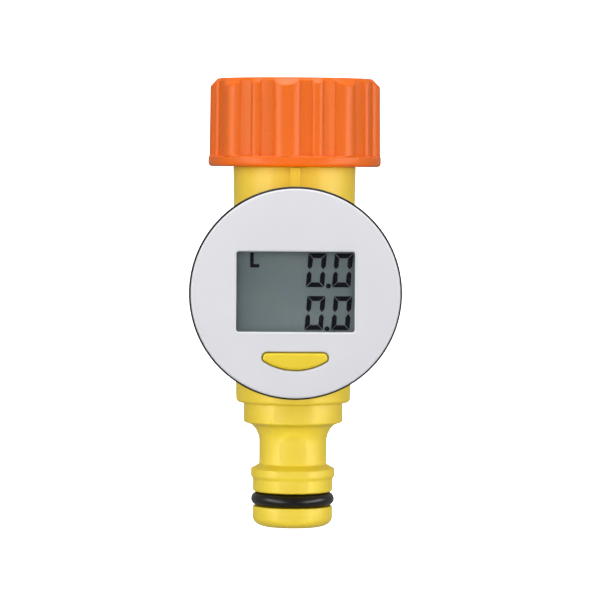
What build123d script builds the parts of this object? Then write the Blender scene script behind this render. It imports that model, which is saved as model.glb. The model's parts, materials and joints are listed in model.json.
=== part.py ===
from build123d import *
import math
import os

# In-line garden water meter, in millimetres.
# The water runs down the Z axis. Z = 0 is the plane where the end of the tap seals
# on the washer, inside the threaded nut. The display head faces -Y, +X is to its right.

# ---------------------------------------------------------------- driving dimensions

# Tap nut, female G3/4 thread
THREAD_MINOR_R = 24.117 / 2
THREAD_MAJOR_R = 26.441 / 2
THREAD_PITCH = 1.814
NUT_TOP = 10.8
NUT_BOTTOM = -6.8
NUT_RING_TOP = -5.0
NUT_RING_R = 17.6
NUT_ROOT_R = 16.45
NUT_LARGE_LOBE_R = 17.5
NUT_SMALL_LOBE_R = 17.05
NUT_LARGE_LOBE_ANGLE = 18.6
NUT_SMALL_LOBE_ANGLE = 8.2
NUT_REPEATS = 8
NUT_FIRST_LOBE = -96.0
NUT_SMALL_LOBE_SHIFT = 22.5
NUT_TOP_CHAMFER_R = 15.75
NUT_TOP_CHAMFER_H = 1.6
NUT_LIP_TOP = -4.6
NUT_RELIEF_R = 12.5
THREAD_START = -0.4
THREAD_MOUTH = 1.0
THREAD_MOUTH_FLARE = 0.3
THREAD_CREST_HALF = 0.45
THREAD_ROOT_HALF = 0.12
THREAD_RUN_IN = 0.2
NUT_RING_EDGE = 0.7

# Margins and small edges used throughout
OVERCUT = 1.0
SMALL_EDGE = 0.2
EDGE = 0.3
SAME = 0.01

# Swivel neck of the body, which the nut snaps over
NECK_R = 10.3
SWIVEL_GAP = 0.1
FLANGE_R = 11.3
FLANGE_BOTTOM = -4.4
SEAT_Z = -2.8
SHOULDER_Z = -7.0
FLANGE_LEAD_R = 0.4
FLANGE_LEAD_H = 0.6

# Washer and filter
WASHER_R = 11.8
WASHER_HOLE_R = 8.2
WASHER_T = 2.2
FILTER_RIM_R = 9.2
FILTER_POCKET_R = 9.3
FILTER_POCKET_DEPTH = 1.0
FILTER_TOP_R = 7.5
FILTER_TIP_R = 3.0
FILTER_BOTTOM = -12.0
FILTER_WALL = 0.3
FILTER_SLACK = 0.05

# Body tube
TUBE_TOP_R = 12.5
TUBE_BOTTOM_R = 11.65
TUBE_BOTTOM = -55.2
TUBE_EDGE = 0.8
INLET_BORE_R = 8.0
CHAMBER_R = 9.5
CHAMBER_TOP = -33.0
RIB_WIDTH = 2.05
RIB_PROUD = 0.9
WEB_OFFSET = 8.0
WEB_THICKNESS = 2.0
WEB_INNER_X = 10.0
WEB_TUBE_X = 11.5
WEB_DRUM_X = 17.0
WEB_TUBE_DEPTH = 3.0
WEB_BITE = 0.5

# Outlet, a plug for quick connectors
SPIGOT_R = 9.4
SPIGOT_INNER_R = 7.8
SPIGOT_TOP = -50.9
SPIGOT_GROOVE_R = 8.0
SPIGOT_GROOVE_TOP = -52.2
SPIGOT_GROOVE_BOTTOM = -54.0
SPIGOT_O_RING_R = 0.72
O_RING_SLACK = 0.02
STEP_R = 10.1
STEP_BOTTOM = -59.2
STEP_EDGE_R = 0.5
STEP_EDGE_H = 0.35
HOLLOW_R = 7.62
HOLLOW_Z = -60.7
STUB_NECK_R = 6.87
STUB_NECK_TOP = -63.0
STUB_NECK_BOTTOM = -67.8
COLLAR_R = 8.575
COLLAR_TOP = -68.75
COLLAR_BOTTOM = -70.2
NOSE_R = 8.14
NOSE_TOP = -70.9
GROOVE_TOP = -73.45
GROOVE_BOTTOM = -76.4
GROOVE_R = 5.82
NOSE_CURVE_TOP = -78.7
TIP_R = 5.3
TIP_Z = -80.6
TIP_CHAMFER = 0.4
GROOVE_LEAD = 0.5
COLLAR_EDGE_R = 0.15
COLLAR_EDGE_H = 0.1
OUTLET_BORE_R = 4.4
O_RING_SECTION_R = 1.325
O_RING_Z = -74.94

# Turbine
VANE_THICKNESS = 0.8
HUB_R = 2.6
CARTRIDGE_SLACK = 0.05
VANE_OVERLAP = 0.3
ROTOR_HUB_R = 3.6
ROTOR_R = 8.3
ROTOR_TOP = -38.6
ROTOR_BOTTOM = -46.6
ROTOR_TWIST = 38.0
ROTOR_BLADES = 4
BLADE_SECTIONS = 3
BLADE_INSET = 0.8
BLADE_ROOT_R = 2.05
BLADE_THICKNESS = 0.9
SLEEVE_BORE_R = 8.6
STRAIGHTENER_BOTTOM = -37.6
STRAIGHTENER_VANES = 6
STATOR_TOP = -47.5
STATOR_VANES = 3
SHAFT_R = 0.75
SHAFT_TOP = -35.4
SHAFT_BOTTOM = -49.6
BEARING_R = 1.6
BEARING_H = 2.5
BEARING_RECESS = 0.1
BEARING_CLEARANCE = 0.05
MAGNET_R = 1.0
MAGNET_ORBIT = 2.2
MAGNET_LENGTH = 4.0

# Display head. Depths are distances in front of the tube's axis, along -Y.
HEAD_Z = -31.9
DRUM_R = 20.6
DRUM_BACK = 11.5
DRUM_EDGE = 2.5
DRUM_FRONT = 27.3
SOCKET_R = 18.8
SOCKET_FLOOR = 14.3
CAPSULE_R = 18.6
CAPSULE_BACK = 14.8
CAPSULE_INSIDE_R = 17.0
CAPSULE_FLOOR = 16.6
RIM_R = 20.95
RIM_BACK = 27.5
RIM_FRONT = 29.45
COVER_R = 20.55
COVER_FRONT = 31.0
COVER_PLATE_BACK = 29.5
COVER_EDGE = 0.45
COVER_SEAT_GAP = 0.05
CAPSULE_EDGE = 0.5
GASKET_SLACK = 0.1
SKIRT_OUTER_R = 17.6
SKIRT_INNER_R = 16.4
SKIRT_END = 26.0
SKIRT_POCKET_R = 17.8
GASKET_DEPTH = 25.5
BAYONET_ANGLES = (90.0, 210.0, 330.0)
BAYONET_TURN = 25.0
BAYONET_LUG_HALF = 5.0
BAYONET_SLACK = 1.5
BAYONET_LUG_R = 19.6
BAYONET_SLOT_R = 19.9
BAYONET_BACK = 19.0
BAYONET_FRONT = 21.0
BAYONET_GAP = 0.3

# Display window and liquid crystal display
WINDOW_W = 23.25
WINDOW_H = 15.8
WINDOW_Y = 0.35
WINDOW_CORNER = 0.5
LENS_W = 25.4
LENS_H = 18.2
TAPE_THICKNESS = 0.15
LENS_BACK = 28.35
LCD_W = 25.4
LCD_H = 18.0
LCD_FRONT = 28.2
LCD_GLASS = 0.6
SEGMENT_THICKNESS = 0.1
REFLECTOR_THICKNESS = 0.2
FRAME_W = 26.4
FRAME_H = 18.9
FRAME_TOP_GAP = 0.05
SHEET_SLACK = 0.2
TAPE_OVERLAP = 0.3
REFLECTOR_SHORTER = 5.0
STRIP_W = 2.0
STRIP_INSET = 1.2

# Digits: each row's centre height, its digits' centres and its decimal point along X
DIGIT_ROWS = ((4.54, (4.07, 9.24), 6.47), (-3.87, (3.87, 9.10), 6.25))
DIGIT_W = 3.6
DIGIT_H = 6.64
DIGIT_STROKE = 0.94
MITRE_GAP = 0.1
MIDDLE_GAP = 0.18
SEGMENT_POINT = 0.6
DIGIT_SLANT = math.tan(math.radians(4.6))
POINT_R = 0.49
POINT_RISE = 0.23
UNIT_LEFT = -8.93
UNIT_BOTTOM = 5.02
UNIT_W = 1.78
UNIT_H = 2.89
UNIT_STROKE = 0.66

# Button
BUTTON_HALF_W = 6.6
BUTTON_TOP = -11.4
BUTTON_SIDE_BOTTOM = -13.2
BUTTON_BOTTOM = -15.2
BUTTON_TOP_CORNER = 1.1
BUTTON_LOW_CORNER = 0.8
BUTTON_GAP = 0.25
BUTTON_FRONT = 31.1
BUTTON_FLANGE_FRONT = 29.4
BUTTON_FLANGE_BACK = 28.7
BUTTON_FLANGE = 0.4
BUTTON_EDGE = 0.3
BUTTON_CENTRE_Y = -13.1
PLUNGER_R = 1.6
PLUNGER_END = 27.4
DOME_BASE_R = 2.6
DOME_WALL = 0.7
DOME_FOOT_H = 0.9
DOME_CAVITY_H = 0.6
PILL_SLACK = 0.2
PILL_FRONT = 25.4
PILL_BACK = 24.8
PILL_R = 1.1

# Circuit board and battery
BOARD_R = 16.0
BOARD_BACK = 22.4
BOARD_FRONT = 23.6
POST_PLACES = ((14.95, 3.2), (-14.95, 3.2), (10.7, -10.95), (-10.7, -10.95))
POST_R = 1.6
POST_ROOT = 0.5
POST_GAP = 0.1
BOARD_NOTCH_R = 1.9
SCREW_R = 0.95
SCREW_HOLE_R = 1.0
SCREW_HEAD_R = 1.8
SCREW_HEAD_H = 1.0
SCREW_RECESS_R = 2.0
SCREW_SINK = 0.1
SCREW_RECESS_SLACK = 0.05
SCREW_TIP_GAP = 0.3
SCREW_END = 28.2
CROSS_LENGTH = 2.2
CROSS_WIDTH = 0.5
CROSS_DEPTH = 0.6
CELL_Y = 3.2
CELL_R = 10.0
CELL_BACK = 17.9
CELL_FRONT = 21.1
HOLDER_OUTER_R = 12.4
HOLDER_INNER_R = 10.2
HOLDER_BACK = 18.0
DOOR_R = 11.9
DOOR_BACK = 14.9
DOOR_FRONT = 17.6
DOOR_HOLE_R = 12.1
DOOR_LUG_R = 13.1
DOOR_LUG_BACK = 16.75
DOOR_LUG_HALF = 9.0
DOOR_NOTCH_R = 13.4
DOOR_NOTCH_HALF = 11.0
DOOR_TURN = 60.0
DOOR_GROOVE_R = 10.9
DOOR_GROOVE_HALF = 0.56
DOOR_SEAL_R = 0.52
DOOR_SEAL_DEPTH = 15.8
COIN_SLOT_W = 12.0
COIN_SLOT_H = 1.8
COIN_SLOT_DEPTH = 0.8
SENSOR_Y = -13.0
SENSOR_R = 1.1
SENSOR_LENGTH = 9.0
SENSOR_EDGE = 0.5
SENSOR_BELOW_BOARD = 1.3
LEAD_R = 0.25
LEAD_REACH = 1.2
LEAD_OUT = 1.4

# Small parts on the board
BLOB_R = 4.4
BLOB_PROFILE = ((4.0, 0.6), (2.8, 1.1), (0, 1.3))
CRYSTAL_R = 0.98
CRYSTAL_LENGTH = 6.0
CRYSTAL_RISE = 1.0
PARTS_ROW_Y = 12.4
CAPACITOR_XS = (2.5, 5.0, 7.5)
CAPACITOR_W = 1.2
CAPACITOR_H = 2.0
CAPACITOR_T = 1.0

# Coin cell's can and the springs that touch it
CELL_EDGE = 0.3
CELL_LIP_H = 0.5
CELL_LIP_R = 0.4
CELL_STEP = 0.25
CELL_CAP_INSET = 1.2
CELL_CAP_SLOPE = 0.2
CONTACT_GAUGE = 0.2
CONTACT_W = 4.0
CONTACT_REACH = 2.5
CONTACT_GAP = 0.1
CONTACT_DOOR_GAP = 0.08
HOLDER_SLOT_SLACK = 0.4
HOLDER_SLOT_H = 1.4
SPRING_FOOT_R = 6.5
SPRING_SHOULDER_R = 5.0
SPRING_TIP_R = 1.6
SPRING_LEAN = 0.1
SPRING_CUT_ORBIT = 4.5
SPRING_CUT_LENGTH = 4.6
SPRING_CUT_W = 2.2
SPRING_CUTS = 3

# ---------------------------------------------------------------- planes and helpers

HEAD_AXIS = Axis((0, 0, HEAD_Z), (0, -1, 0))
HEAD_SECTION = Plane(origin=(0, 0, HEAD_Z), x_dir=(1, 0, 0), z_dir=(0, 0, -1))
CELL_AXIS = Axis((0, 0, HEAD_Z + CELL_Y), (0, -1, 0))
CELL_SECTION = Plane(origin=(0, 0, HEAD_Z + CELL_Y), x_dir=(1, 0, 0), z_dir=(0, 0, -1))


def head_plane(depth):
    """A plane facing the viewer, depth mm in front of the tube's axis, centred on the head."""
    return Plane(origin=(0, -depth, HEAD_Z), x_dir=(1, 0, 0), z_dir=(0, -1, 0))


def cell_plane(depth):
    """The same plane, centred on the battery."""
    return Plane(origin=(0, -depth, HEAD_Z + CELL_Y), x_dir=(1, 0, 0), z_dir=(0, -1, 0))


def save(builder, label):
    """Label a finished piece and write its STEP file."""
    builder.part.label = label
    export_step(builder.part, f"parts/{label}.step")


def ring(outer_r, inner_r):
    """A flat ring in the current sketch."""
    Circle(outer_r)
    Circle(inner_r, mode=Mode.SUBTRACT)


def outline(*points):
    """A closed straight-sided face in the current sketch."""
    Polygon(*points, align=None)


def sector(outer_r, inner_r, start, end):
    """A ring's sector between two angles in the current sketch."""
    a = math.radians(start)
    b = math.radians(end)
    with BuildLine() as border:
        CenterArc((0, 0), outer_r, start, end - start)
        CenterArc((0, 0), inner_r, start, end - start)
        for angle in (a, b):
            Line(
                (inner_r * math.cos(angle), inner_r * math.sin(angle)),
                (outer_r * math.cos(angle), outer_r * math.sin(angle)),
            )
    make_face(border.edges())


def lobe(angle, crest_r, width_angle):
    """A round grip lobe on the nut's root circle: an arc's circle from chord and crest."""
    half = math.radians(width_angle / 2)
    chord = NUT_ROOT_R * math.sin(half)
    rise = crest_r - NUT_ROOT_R * math.cos(half)
    arc_r = (chord**2 + rise**2) / (2 * rise)
    centre = crest_r - arc_r
    a = math.radians(angle)
    with Locations((centre * math.cos(a), centre * math.sin(a))):
        Circle(arc_r)


def button_outline(growth):
    """The smile-shaped button outline in the current sketch, grown by a margin."""
    with BuildLine() as border:
        Line((BUTTON_HALF_W, BUTTON_SIDE_BOTTOM), (BUTTON_HALF_W, BUTTON_TOP))
        Line((BUTTON_HALF_W, BUTTON_TOP), (-BUTTON_HALF_W, BUTTON_TOP))
        Line((-BUTTON_HALF_W, BUTTON_TOP), (-BUTTON_HALF_W, BUTTON_SIDE_BOTTOM))
        ThreePointArc(
            (-BUTTON_HALF_W, BUTTON_SIDE_BOTTOM),
            (0, BUTTON_BOTTOM),
            (BUTTON_HALF_W, BUTTON_SIDE_BOTTOM),
        )
    make_face(border.edges())
    fillet(vertices().group_by(Axis.Y)[-1], BUTTON_TOP_CORNER)
    fillet(vertices().group_by(Axis.Y)[0], BUTTON_LOW_CORNER)
    if growth:
        offset(amount=growth)


os.makedirs("parts", exist_ok=True)

# ---------------------------------------------------------------- tap nut

LIP_HOLE_R = NECK_R + SWIVEL_GAP
THREAD_END = NUT_TOP - THREAD_MOUTH
THREAD_DEPTH = THREAD_MAJOR_R - THREAD_MINOR_R
THREAD_SLOPE = (THREAD_CREST_HALF - THREAD_ROOT_HALF) / THREAD_DEPTH
THREAD_OUTSIDE_HALF = THREAD_CREST_HALF + THREAD_RUN_IN * THREAD_SLOPE
CHAMFER_CONE_R = NUT_LARGE_LOBE_R + OVERCUT

with BuildPart() as inlet_nut:
    with BuildSketch(Plane.XY.offset(NUT_RING_TOP)):
        Circle(NUT_ROOT_R)
        for i in range(NUT_REPEATS):
            angle = NUT_FIRST_LOBE + i * 360 / NUT_REPEATS
            lobe(angle, NUT_LARGE_LOBE_R, NUT_LARGE_LOBE_ANGLE)
            lobe(angle + NUT_SMALL_LOBE_SHIFT, NUT_SMALL_LOBE_R, NUT_SMALL_LOBE_ANGLE)
    extrude(amount=NUT_TOP - NUT_RING_TOP)
    with BuildSketch(Plane.XZ):
        outline(
            (0, NUT_RING_TOP - OVERCUT),
            (CHAMFER_CONE_R, NUT_RING_TOP - OVERCUT),
            (CHAMFER_CONE_R, NUT_TOP - NUT_TOP_CHAMFER_H - OVERCUT),
            (NUT_TOP_CHAMFER_R, NUT_TOP),
            (0, NUT_TOP),
        )
    revolve(axis=Axis.Z, mode=Mode.INTERSECT)
    with BuildSketch(Plane.XY.offset(NUT_BOTTOM)):
        Circle(NUT_RING_R)
    extrude(amount=NUT_RING_TOP - NUT_BOTTOM)
    fillet(
        edges()
        .filter_by(GeomType.CIRCLE)
        .filter_by(lambda e: abs(e.radius - NUT_RING_R) < SAME)
        .group_by(Axis.Z)[0],
        NUT_RING_EDGE,
    )
    with BuildSketch(Plane.XZ):
        outline(
            (0, NUT_BOTTOM - OVERCUT),
            (LIP_HOLE_R, NUT_BOTTOM - OVERCUT),
            (LIP_HOLE_R, NUT_LIP_TOP),
            (NUT_RELIEF_R, NUT_LIP_TOP),
            (NUT_RELIEF_R, THREAD_START),
            (THREAD_MINOR_R, THREAD_START),
            (THREAD_MINOR_R, THREAD_END),
            (THREAD_MAJOR_R + THREAD_MOUTH_FLARE, NUT_TOP),
            (THREAD_MAJOR_R + THREAD_MOUTH_FLARE, NUT_TOP + OVERCUT),
            (0, NUT_TOP + OVERCUT),
        )
    revolve(axis=Axis.Z, mode=Mode.SUBTRACT)

with BuildPart(mode=Mode.PRIVATE) as thread_groove:
    with BuildLine(Plane.XY.offset(THREAD_START - THREAD_PITCH / 2)):
        thread_path = Helix(THREAD_PITCH, THREAD_END - THREAD_START + THREAD_PITCH, THREAD_MINOR_R)
    groove_plane = Plane(
        origin=thread_path @ 0,
        x_dir=(1, 0, 0),
        z_dir=thread_path % 0,
    )
    with BuildSketch(groove_plane):
        outline(
            (-THREAD_RUN_IN, -THREAD_OUTSIDE_HALF),
            (THREAD_DEPTH, -THREAD_ROOT_HALF),
            (THREAD_DEPTH, THREAD_ROOT_HALF),
            (-THREAD_RUN_IN, THREAD_OUTSIDE_HALF),
        )
    sweep(path=thread_path, is_frenet=True)

with inlet_nut:
    add(thread_groove.part, mode=Mode.SUBTRACT)
save(inlet_nut, "inlet_nut")

# ---------------------------------------------------------------- washer and filter

with BuildPart() as inlet_washer:
    with BuildSketch(Plane.XY.offset(SEAT_Z)):
        ring(WASHER_R, WASHER_HOLE_R)
    extrude(amount=WASHER_T)
    fillet(edges().filter_by(GeomType.CIRCLE), EDGE)
save(inlet_washer, "inlet_washer")

with BuildPart() as filter_rim:
    with BuildSketch(Plane.XY.offset(SEAT_Z - FILTER_POCKET_DEPTH)):
        ring(FILTER_RIM_R, FILTER_TOP_R - FILTER_WALL)
    extrude(amount=FILTER_POCKET_DEPTH - FILTER_SLACK)
save(filter_rim, "filter_rim")

with BuildPart() as filter_mesh:
    with BuildSketch(Plane.XZ):
        outline(
            (FILTER_TOP_R, SEAT_Z - FILTER_POCKET_DEPTH),
            (FILTER_TIP_R, FILTER_BOTTOM),
            (0, FILTER_BOTTOM),
            (0, FILTER_BOTTOM + FILTER_WALL),
            (FILTER_TIP_R - FILTER_WALL, FILTER_BOTTOM + FILTER_WALL),
            (FILTER_TOP_R - FILTER_WALL, SEAT_Z - FILTER_POCKET_DEPTH),
        )
    revolve(axis=Axis.Z)
save(filter_mesh, "filter_mesh")

# ---------------------------------------------------------------- body tube with the head's socket

with BuildPart() as main_body:
    with BuildSketch(Plane.XZ):
        outline(
            (0, SEAT_Z),
            (FLANGE_R - FLANGE_LEAD_R, SEAT_Z),
            (FLANGE_R, SEAT_Z - FLANGE_LEAD_H),
            (FLANGE_R, FLANGE_BOTTOM),
            (NECK_R, FLANGE_BOTTOM),
            (NECK_R, SHOULDER_Z),
            (TUBE_TOP_R - EDGE, SHOULDER_Z),
            (TUBE_TOP_R, SHOULDER_Z - EDGE),
            (TUBE_BOTTOM_R, TUBE_BOTTOM),
            (0, TUBE_BOTTOM),
        )
    revolve(axis=Axis.Z)
    fillet(
        edges()
        .filter_by(GeomType.CIRCLE)
        .filter_by(lambda e: abs(e.radius - TUBE_BOTTOM_R) < SAME),
        TUBE_EDGE,
    )
    # the drum that carries the display head, round at its back edge
    with BuildSketch(HEAD_SECTION):
        with BuildLine():
            Line((0, DRUM_BACK), (DRUM_R - DRUM_EDGE, DRUM_BACK))
            RadiusArc(
                (DRUM_R - DRUM_EDGE, DRUM_BACK),
                (DRUM_R, DRUM_BACK + DRUM_EDGE),
                -DRUM_EDGE,
            )
            Polyline(
                (DRUM_R, DRUM_BACK + DRUM_EDGE),
                (DRUM_R, DRUM_FRONT - SMALL_EDGE),
                (DRUM_R - SMALL_EDGE, DRUM_FRONT),
                (0, DRUM_FRONT),
                (0, DRUM_BACK),
            )
        make_face()
    revolve(axis=HEAD_AXIS)
    # the rib down the front of the tube, and the webs behind the drum
    with BuildSketch(Plane.XY.offset(SHOULDER_Z - EDGE)):
        with Locations((0, -(TUBE_TOP_R + RIB_PROUD) / 2)):
            Rectangle(RIB_WIDTH, TUBE_TOP_R + RIB_PROUD)
    extrude(amount=-(abs(HEAD_Z) - abs(SHOULDER_Z)) / 2)
    for web_z in (HEAD_Z + WEB_OFFSET, HEAD_Z - WEB_OFFSET):
        for side in (-1, 1):
            with BuildSketch(Plane.XY.offset(web_z - WEB_THICKNESS / 2)):
                outline(
                    (side * WEB_INNER_X, -DRUM_BACK - OVERCUT),
                    (side * WEB_DRUM_X, -DRUM_BACK - OVERCUT),
                    (side * WEB_DRUM_X, -DRUM_BACK + WEB_BITE),
                    (side * WEB_TUBE_X, -WEB_TUBE_DEPTH),
                    (side * WEB_INNER_X, -WEB_TUBE_DEPTH),
                )
            extrude(amount=WEB_THICKNESS)
    # water way
    with BuildSketch(Plane.XZ):
        outline(
            (0, SEAT_Z + OVERCUT),
            (FILTER_POCKET_R, SEAT_Z + OVERCUT),
            (FILTER_POCKET_R, SEAT_Z - FILTER_POCKET_DEPTH),
            (INLET_BORE_R, SEAT_Z - FILTER_POCKET_DEPTH),
            (INLET_BORE_R, CHAMBER_TOP),
            (CHAMBER_R, CHAMBER_TOP),
            (CHAMBER_R, TUBE_BOTTOM - OVERCUT),
            (0, TUBE_BOTTOM - OVERCUT),
        )
    revolve(axis=Axis.Z, mode=Mode.SUBTRACT)
    # socket for the head, with a slot for each bayonet lug
    with BuildSketch(head_plane(SOCKET_FLOOR)):
        Circle(SOCKET_R)
    extrude(amount=DRUM_FRONT - SOCKET_FLOOR, mode=Mode.SUBTRACT)
    for angle in BAYONET_ANGLES:
        half = BAYONET_LUG_HALF + BAYONET_SLACK
        with BuildSketch(head_plane(BAYONET_BACK - BAYONET_GAP)):
            sector(BAYONET_SLOT_R, SOCKET_R - OVERCUT, angle - half, angle + BAYONET_TURN + half)
        extrude(
            amount=BAYONET_FRONT - BAYONET_BACK + 2 * BAYONET_GAP,
            mode=Mode.SUBTRACT,
        )
        with BuildSketch(head_plane(BAYONET_BACK - BAYONET_GAP)):
            sector(
                BAYONET_SLOT_R,
                SOCKET_R - OVERCUT,
                angle + BAYONET_TURN - half,
                angle + BAYONET_TURN + half,
            )
        extrude(amount=DRUM_FRONT, mode=Mode.SUBTRACT)
save(main_body, "main_body")

# ---------------------------------------------------------------- outlet

with BuildPart() as outlet_coupling:
    with BuildSketch(Plane.XZ):
        with BuildLine():
            Polyline(
                (SPIGOT_INNER_R, SPIGOT_TOP),
                (SPIGOT_R - EDGE, SPIGOT_TOP),
                (SPIGOT_R, SPIGOT_TOP - EDGE),
                (SPIGOT_R, SPIGOT_GROOVE_TOP),
                (SPIGOT_GROOVE_R, SPIGOT_GROOVE_TOP),
                (SPIGOT_GROOVE_R, SPIGOT_GROOVE_BOTTOM),
                (SPIGOT_R, SPIGOT_GROOVE_BOTTOM),
                (SPIGOT_R, TUBE_BOTTOM),
                (STEP_R, TUBE_BOTTOM),
                (STEP_R, STEP_BOTTOM + STEP_EDGE_H),
                (STEP_R - STEP_EDGE_R, STEP_BOTTOM),
            )
            ThreePointArc(
                (STEP_R - STEP_EDGE_R, STEP_BOTTOM),
                (HOLLOW_R, HOLLOW_Z),
                (STUB_NECK_R, STUB_NECK_TOP),
            )
            Polyline(
                (STUB_NECK_R, STUB_NECK_TOP),
                (STUB_NECK_R, STUB_NECK_BOTTOM),
                (COLLAR_R - COLLAR_EDGE_R, COLLAR_TOP + COLLAR_EDGE_H),
                (COLLAR_R, COLLAR_TOP),
                (COLLAR_R, COLLAR_BOTTOM),
                (NOSE_R, NOSE_TOP),
                (NOSE_R, GROOVE_TOP + GROOVE_LEAD),
                (NOSE_R - GROOVE_LEAD, GROOVE_TOP),
                (GROOVE_R, GROOVE_TOP),
                (GROOVE_R, GROOVE_BOTTOM),
                (NOSE_R - SMALL_EDGE, GROOVE_BOTTOM),
                (NOSE_R, GROOVE_BOTTOM - SMALL_EDGE),
                (NOSE_R, NOSE_CURVE_TOP),
            )
            EllipticalCenterArc(
                (TIP_R, NOSE_CURVE_TOP),
                NOSE_R - TIP_R,
                NOSE_CURVE_TOP - TIP_Z,
                start_angle=270,
                arc_size=90,
            )
            Polyline(
                (TIP_R, TIP_Z),
                (OUTLET_BORE_R + TIP_CHAMFER, TIP_Z),
                (OUTLET_BORE_R, TIP_Z + TIP_CHAMFER),
                (OUTLET_BORE_R, STUB_NECK_TOP),
                (SPIGOT_INNER_R, TUBE_BOTTOM),
                (SPIGOT_INNER_R, SPIGOT_TOP),
            )
        make_face()
    revolve(axis=Axis.Z)
save(outlet_coupling, "outlet_coupling")


def o_ring(label, z, centre_r, section_r):
    """An O-ring round the tube's axis."""
    with BuildPart() as seal:
        with BuildSketch(Plane.XZ):
            with Locations((centre_r, z)):
                Circle(section_r)
        revolve(axis=Axis.Z)
    save(seal, label)


o_ring("outlet_o_ring", O_RING_Z, GROOVE_R + O_RING_SECTION_R + O_RING_SLACK, O_RING_SECTION_R)
o_ring(
    "coupling_o_ring",
    (SPIGOT_GROOVE_TOP + SPIGOT_GROOVE_BOTTOM) / 2,
    SPIGOT_GROOVE_R + SPIGOT_O_RING_R + O_RING_SLACK,
    SPIGOT_O_RING_R,
)

# ---------------------------------------------------------------- turbine cartridge


def stator(label, bottom, top, pocket_bottom, pocket_top, vanes):
    """A ring with a hub on thin vanes, whose pocket holds a bearing of the turbine."""
    with BuildPart() as holder:
        with BuildSketch(Plane.XY.offset(bottom)):
            ring(CHAMBER_R - CARTRIDGE_SLACK, SLEEVE_BORE_R)
            Circle(HUB_R)
            with PolarLocations(0, vanes):
                with Locations(((SLEEVE_BORE_R + HUB_R) / 2, 0)):
                    Rectangle(SLEEVE_BORE_R - HUB_R + 2 * VANE_OVERLAP, VANE_THICKNESS)
        extrude(amount=top - bottom)
        with BuildSketch(Plane.XY.offset(pocket_bottom)):
            Circle(BEARING_R)
        extrude(amount=pocket_top - pocket_bottom, mode=Mode.SUBTRACT)
    save(holder, label)


def bearing(label, bottom, top):
    """A plain bush for one end of the turbine's shaft."""
    with BuildPart() as bush:
        with BuildSketch(Plane.XY.offset(bottom)):
            ring(BEARING_R, SHAFT_R + BEARING_CLEARANCE)
        extrude(amount=top - bottom)
    save(bush, label)


UPSTREAM_POCKET_TOP = STRAIGHTENER_BOTTOM + BEARING_RECESS + BEARING_H
DOWNSTREAM_POCKET_BOTTOM = STATOR_TOP - BEARING_RECESS - BEARING_H

stator(
    "flow_straightener",
    STRAIGHTENER_BOTTOM,
    CHAMBER_TOP,
    STRAIGHTENER_BOTTOM,
    UPSTREAM_POCKET_TOP,
    STRAIGHTENER_VANES,
)
stator(
    "rear_stator",
    SPIGOT_TOP,
    STATOR_TOP,
    DOWNSTREAM_POCKET_BOTTOM,
    STATOR_TOP,
    STATOR_VANES,
)
bearing("upstream_bearing", UPSTREAM_POCKET_TOP - BEARING_H, UPSTREAM_POCKET_TOP)
bearing("downstream_bearing", DOWNSTREAM_POCKET_BOTTOM, DOWNSTREAM_POCKET_BOTTOM + BEARING_H)

with BuildPart() as measuring_sleeve:
    with BuildSketch(Plane.XY.offset(STATOR_TOP)):
        ring(CHAMBER_R - CARTRIDGE_SLACK, SLEEVE_BORE_R)
    extrude(amount=STRAIGHTENER_BOTTOM - STATOR_TOP)
save(measuring_sleeve, "measuring_sleeve")

BLADE_RISE = (ROTOR_TOP - ROTOR_BOTTOM - 2 * BLADE_INSET) / (BLADE_SECTIONS - 1)

with BuildPart() as turbine_rotor:
    with BuildSketch(Plane.XY.offset(ROTOR_BOTTOM)):
        Circle(ROTOR_HUB_R)
    extrude(amount=ROTOR_TOP - ROTOR_BOTTOM)
    for blade in range(ROTOR_BLADES):
        for step in range(BLADE_SECTIONS):
            z = ROTOR_BOTTOM + BLADE_INSET + step * BLADE_RISE
            turn = blade * 360 / ROTOR_BLADES + (step - 1) * ROTOR_TWIST
            blade_plane = Plane.XY.offset(z).rotated((0, 0, turn))
            with BuildSketch(blade_plane):
                with Locations(((ROTOR_R + BLADE_ROOT_R) / 2, 0)):
                    Rectangle(ROTOR_R - BLADE_ROOT_R, BLADE_THICKNESS)
        loft()
    with BuildSketch(Plane.XY.offset(ROTOR_BOTTOM)):
        Circle(SHAFT_R)
        with PolarLocations(MAGNET_ORBIT, 2):
            Circle(MAGNET_R)
    extrude(amount=ROTOR_TOP - ROTOR_BOTTOM, mode=Mode.SUBTRACT)
save(turbine_rotor, "turbine_rotor")

with BuildPart() as rotor_shaft:
    with BuildSketch(Plane.XY.offset(SHAFT_BOTTOM)):
        Circle(SHAFT_R)
    extrude(amount=SHAFT_TOP - SHAFT_BOTTOM)
    chamfer(edges().filter_by(GeomType.CIRCLE), SMALL_EDGE)
save(rotor_shaft, "rotor_shaft")

with BuildPart() as rotor_magnets:
    with BuildSketch(Plane.XY.offset((ROTOR_TOP + ROTOR_BOTTOM - MAGNET_LENGTH) / 2)):
        with PolarLocations(MAGNET_ORBIT, 2):
            Circle(MAGNET_R)
    extrude(amount=MAGNET_LENGTH)
save(rotor_magnets, "rotor_magnets")

# ---------------------------------------------------------------- capsule: black rear case and white cover

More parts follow.
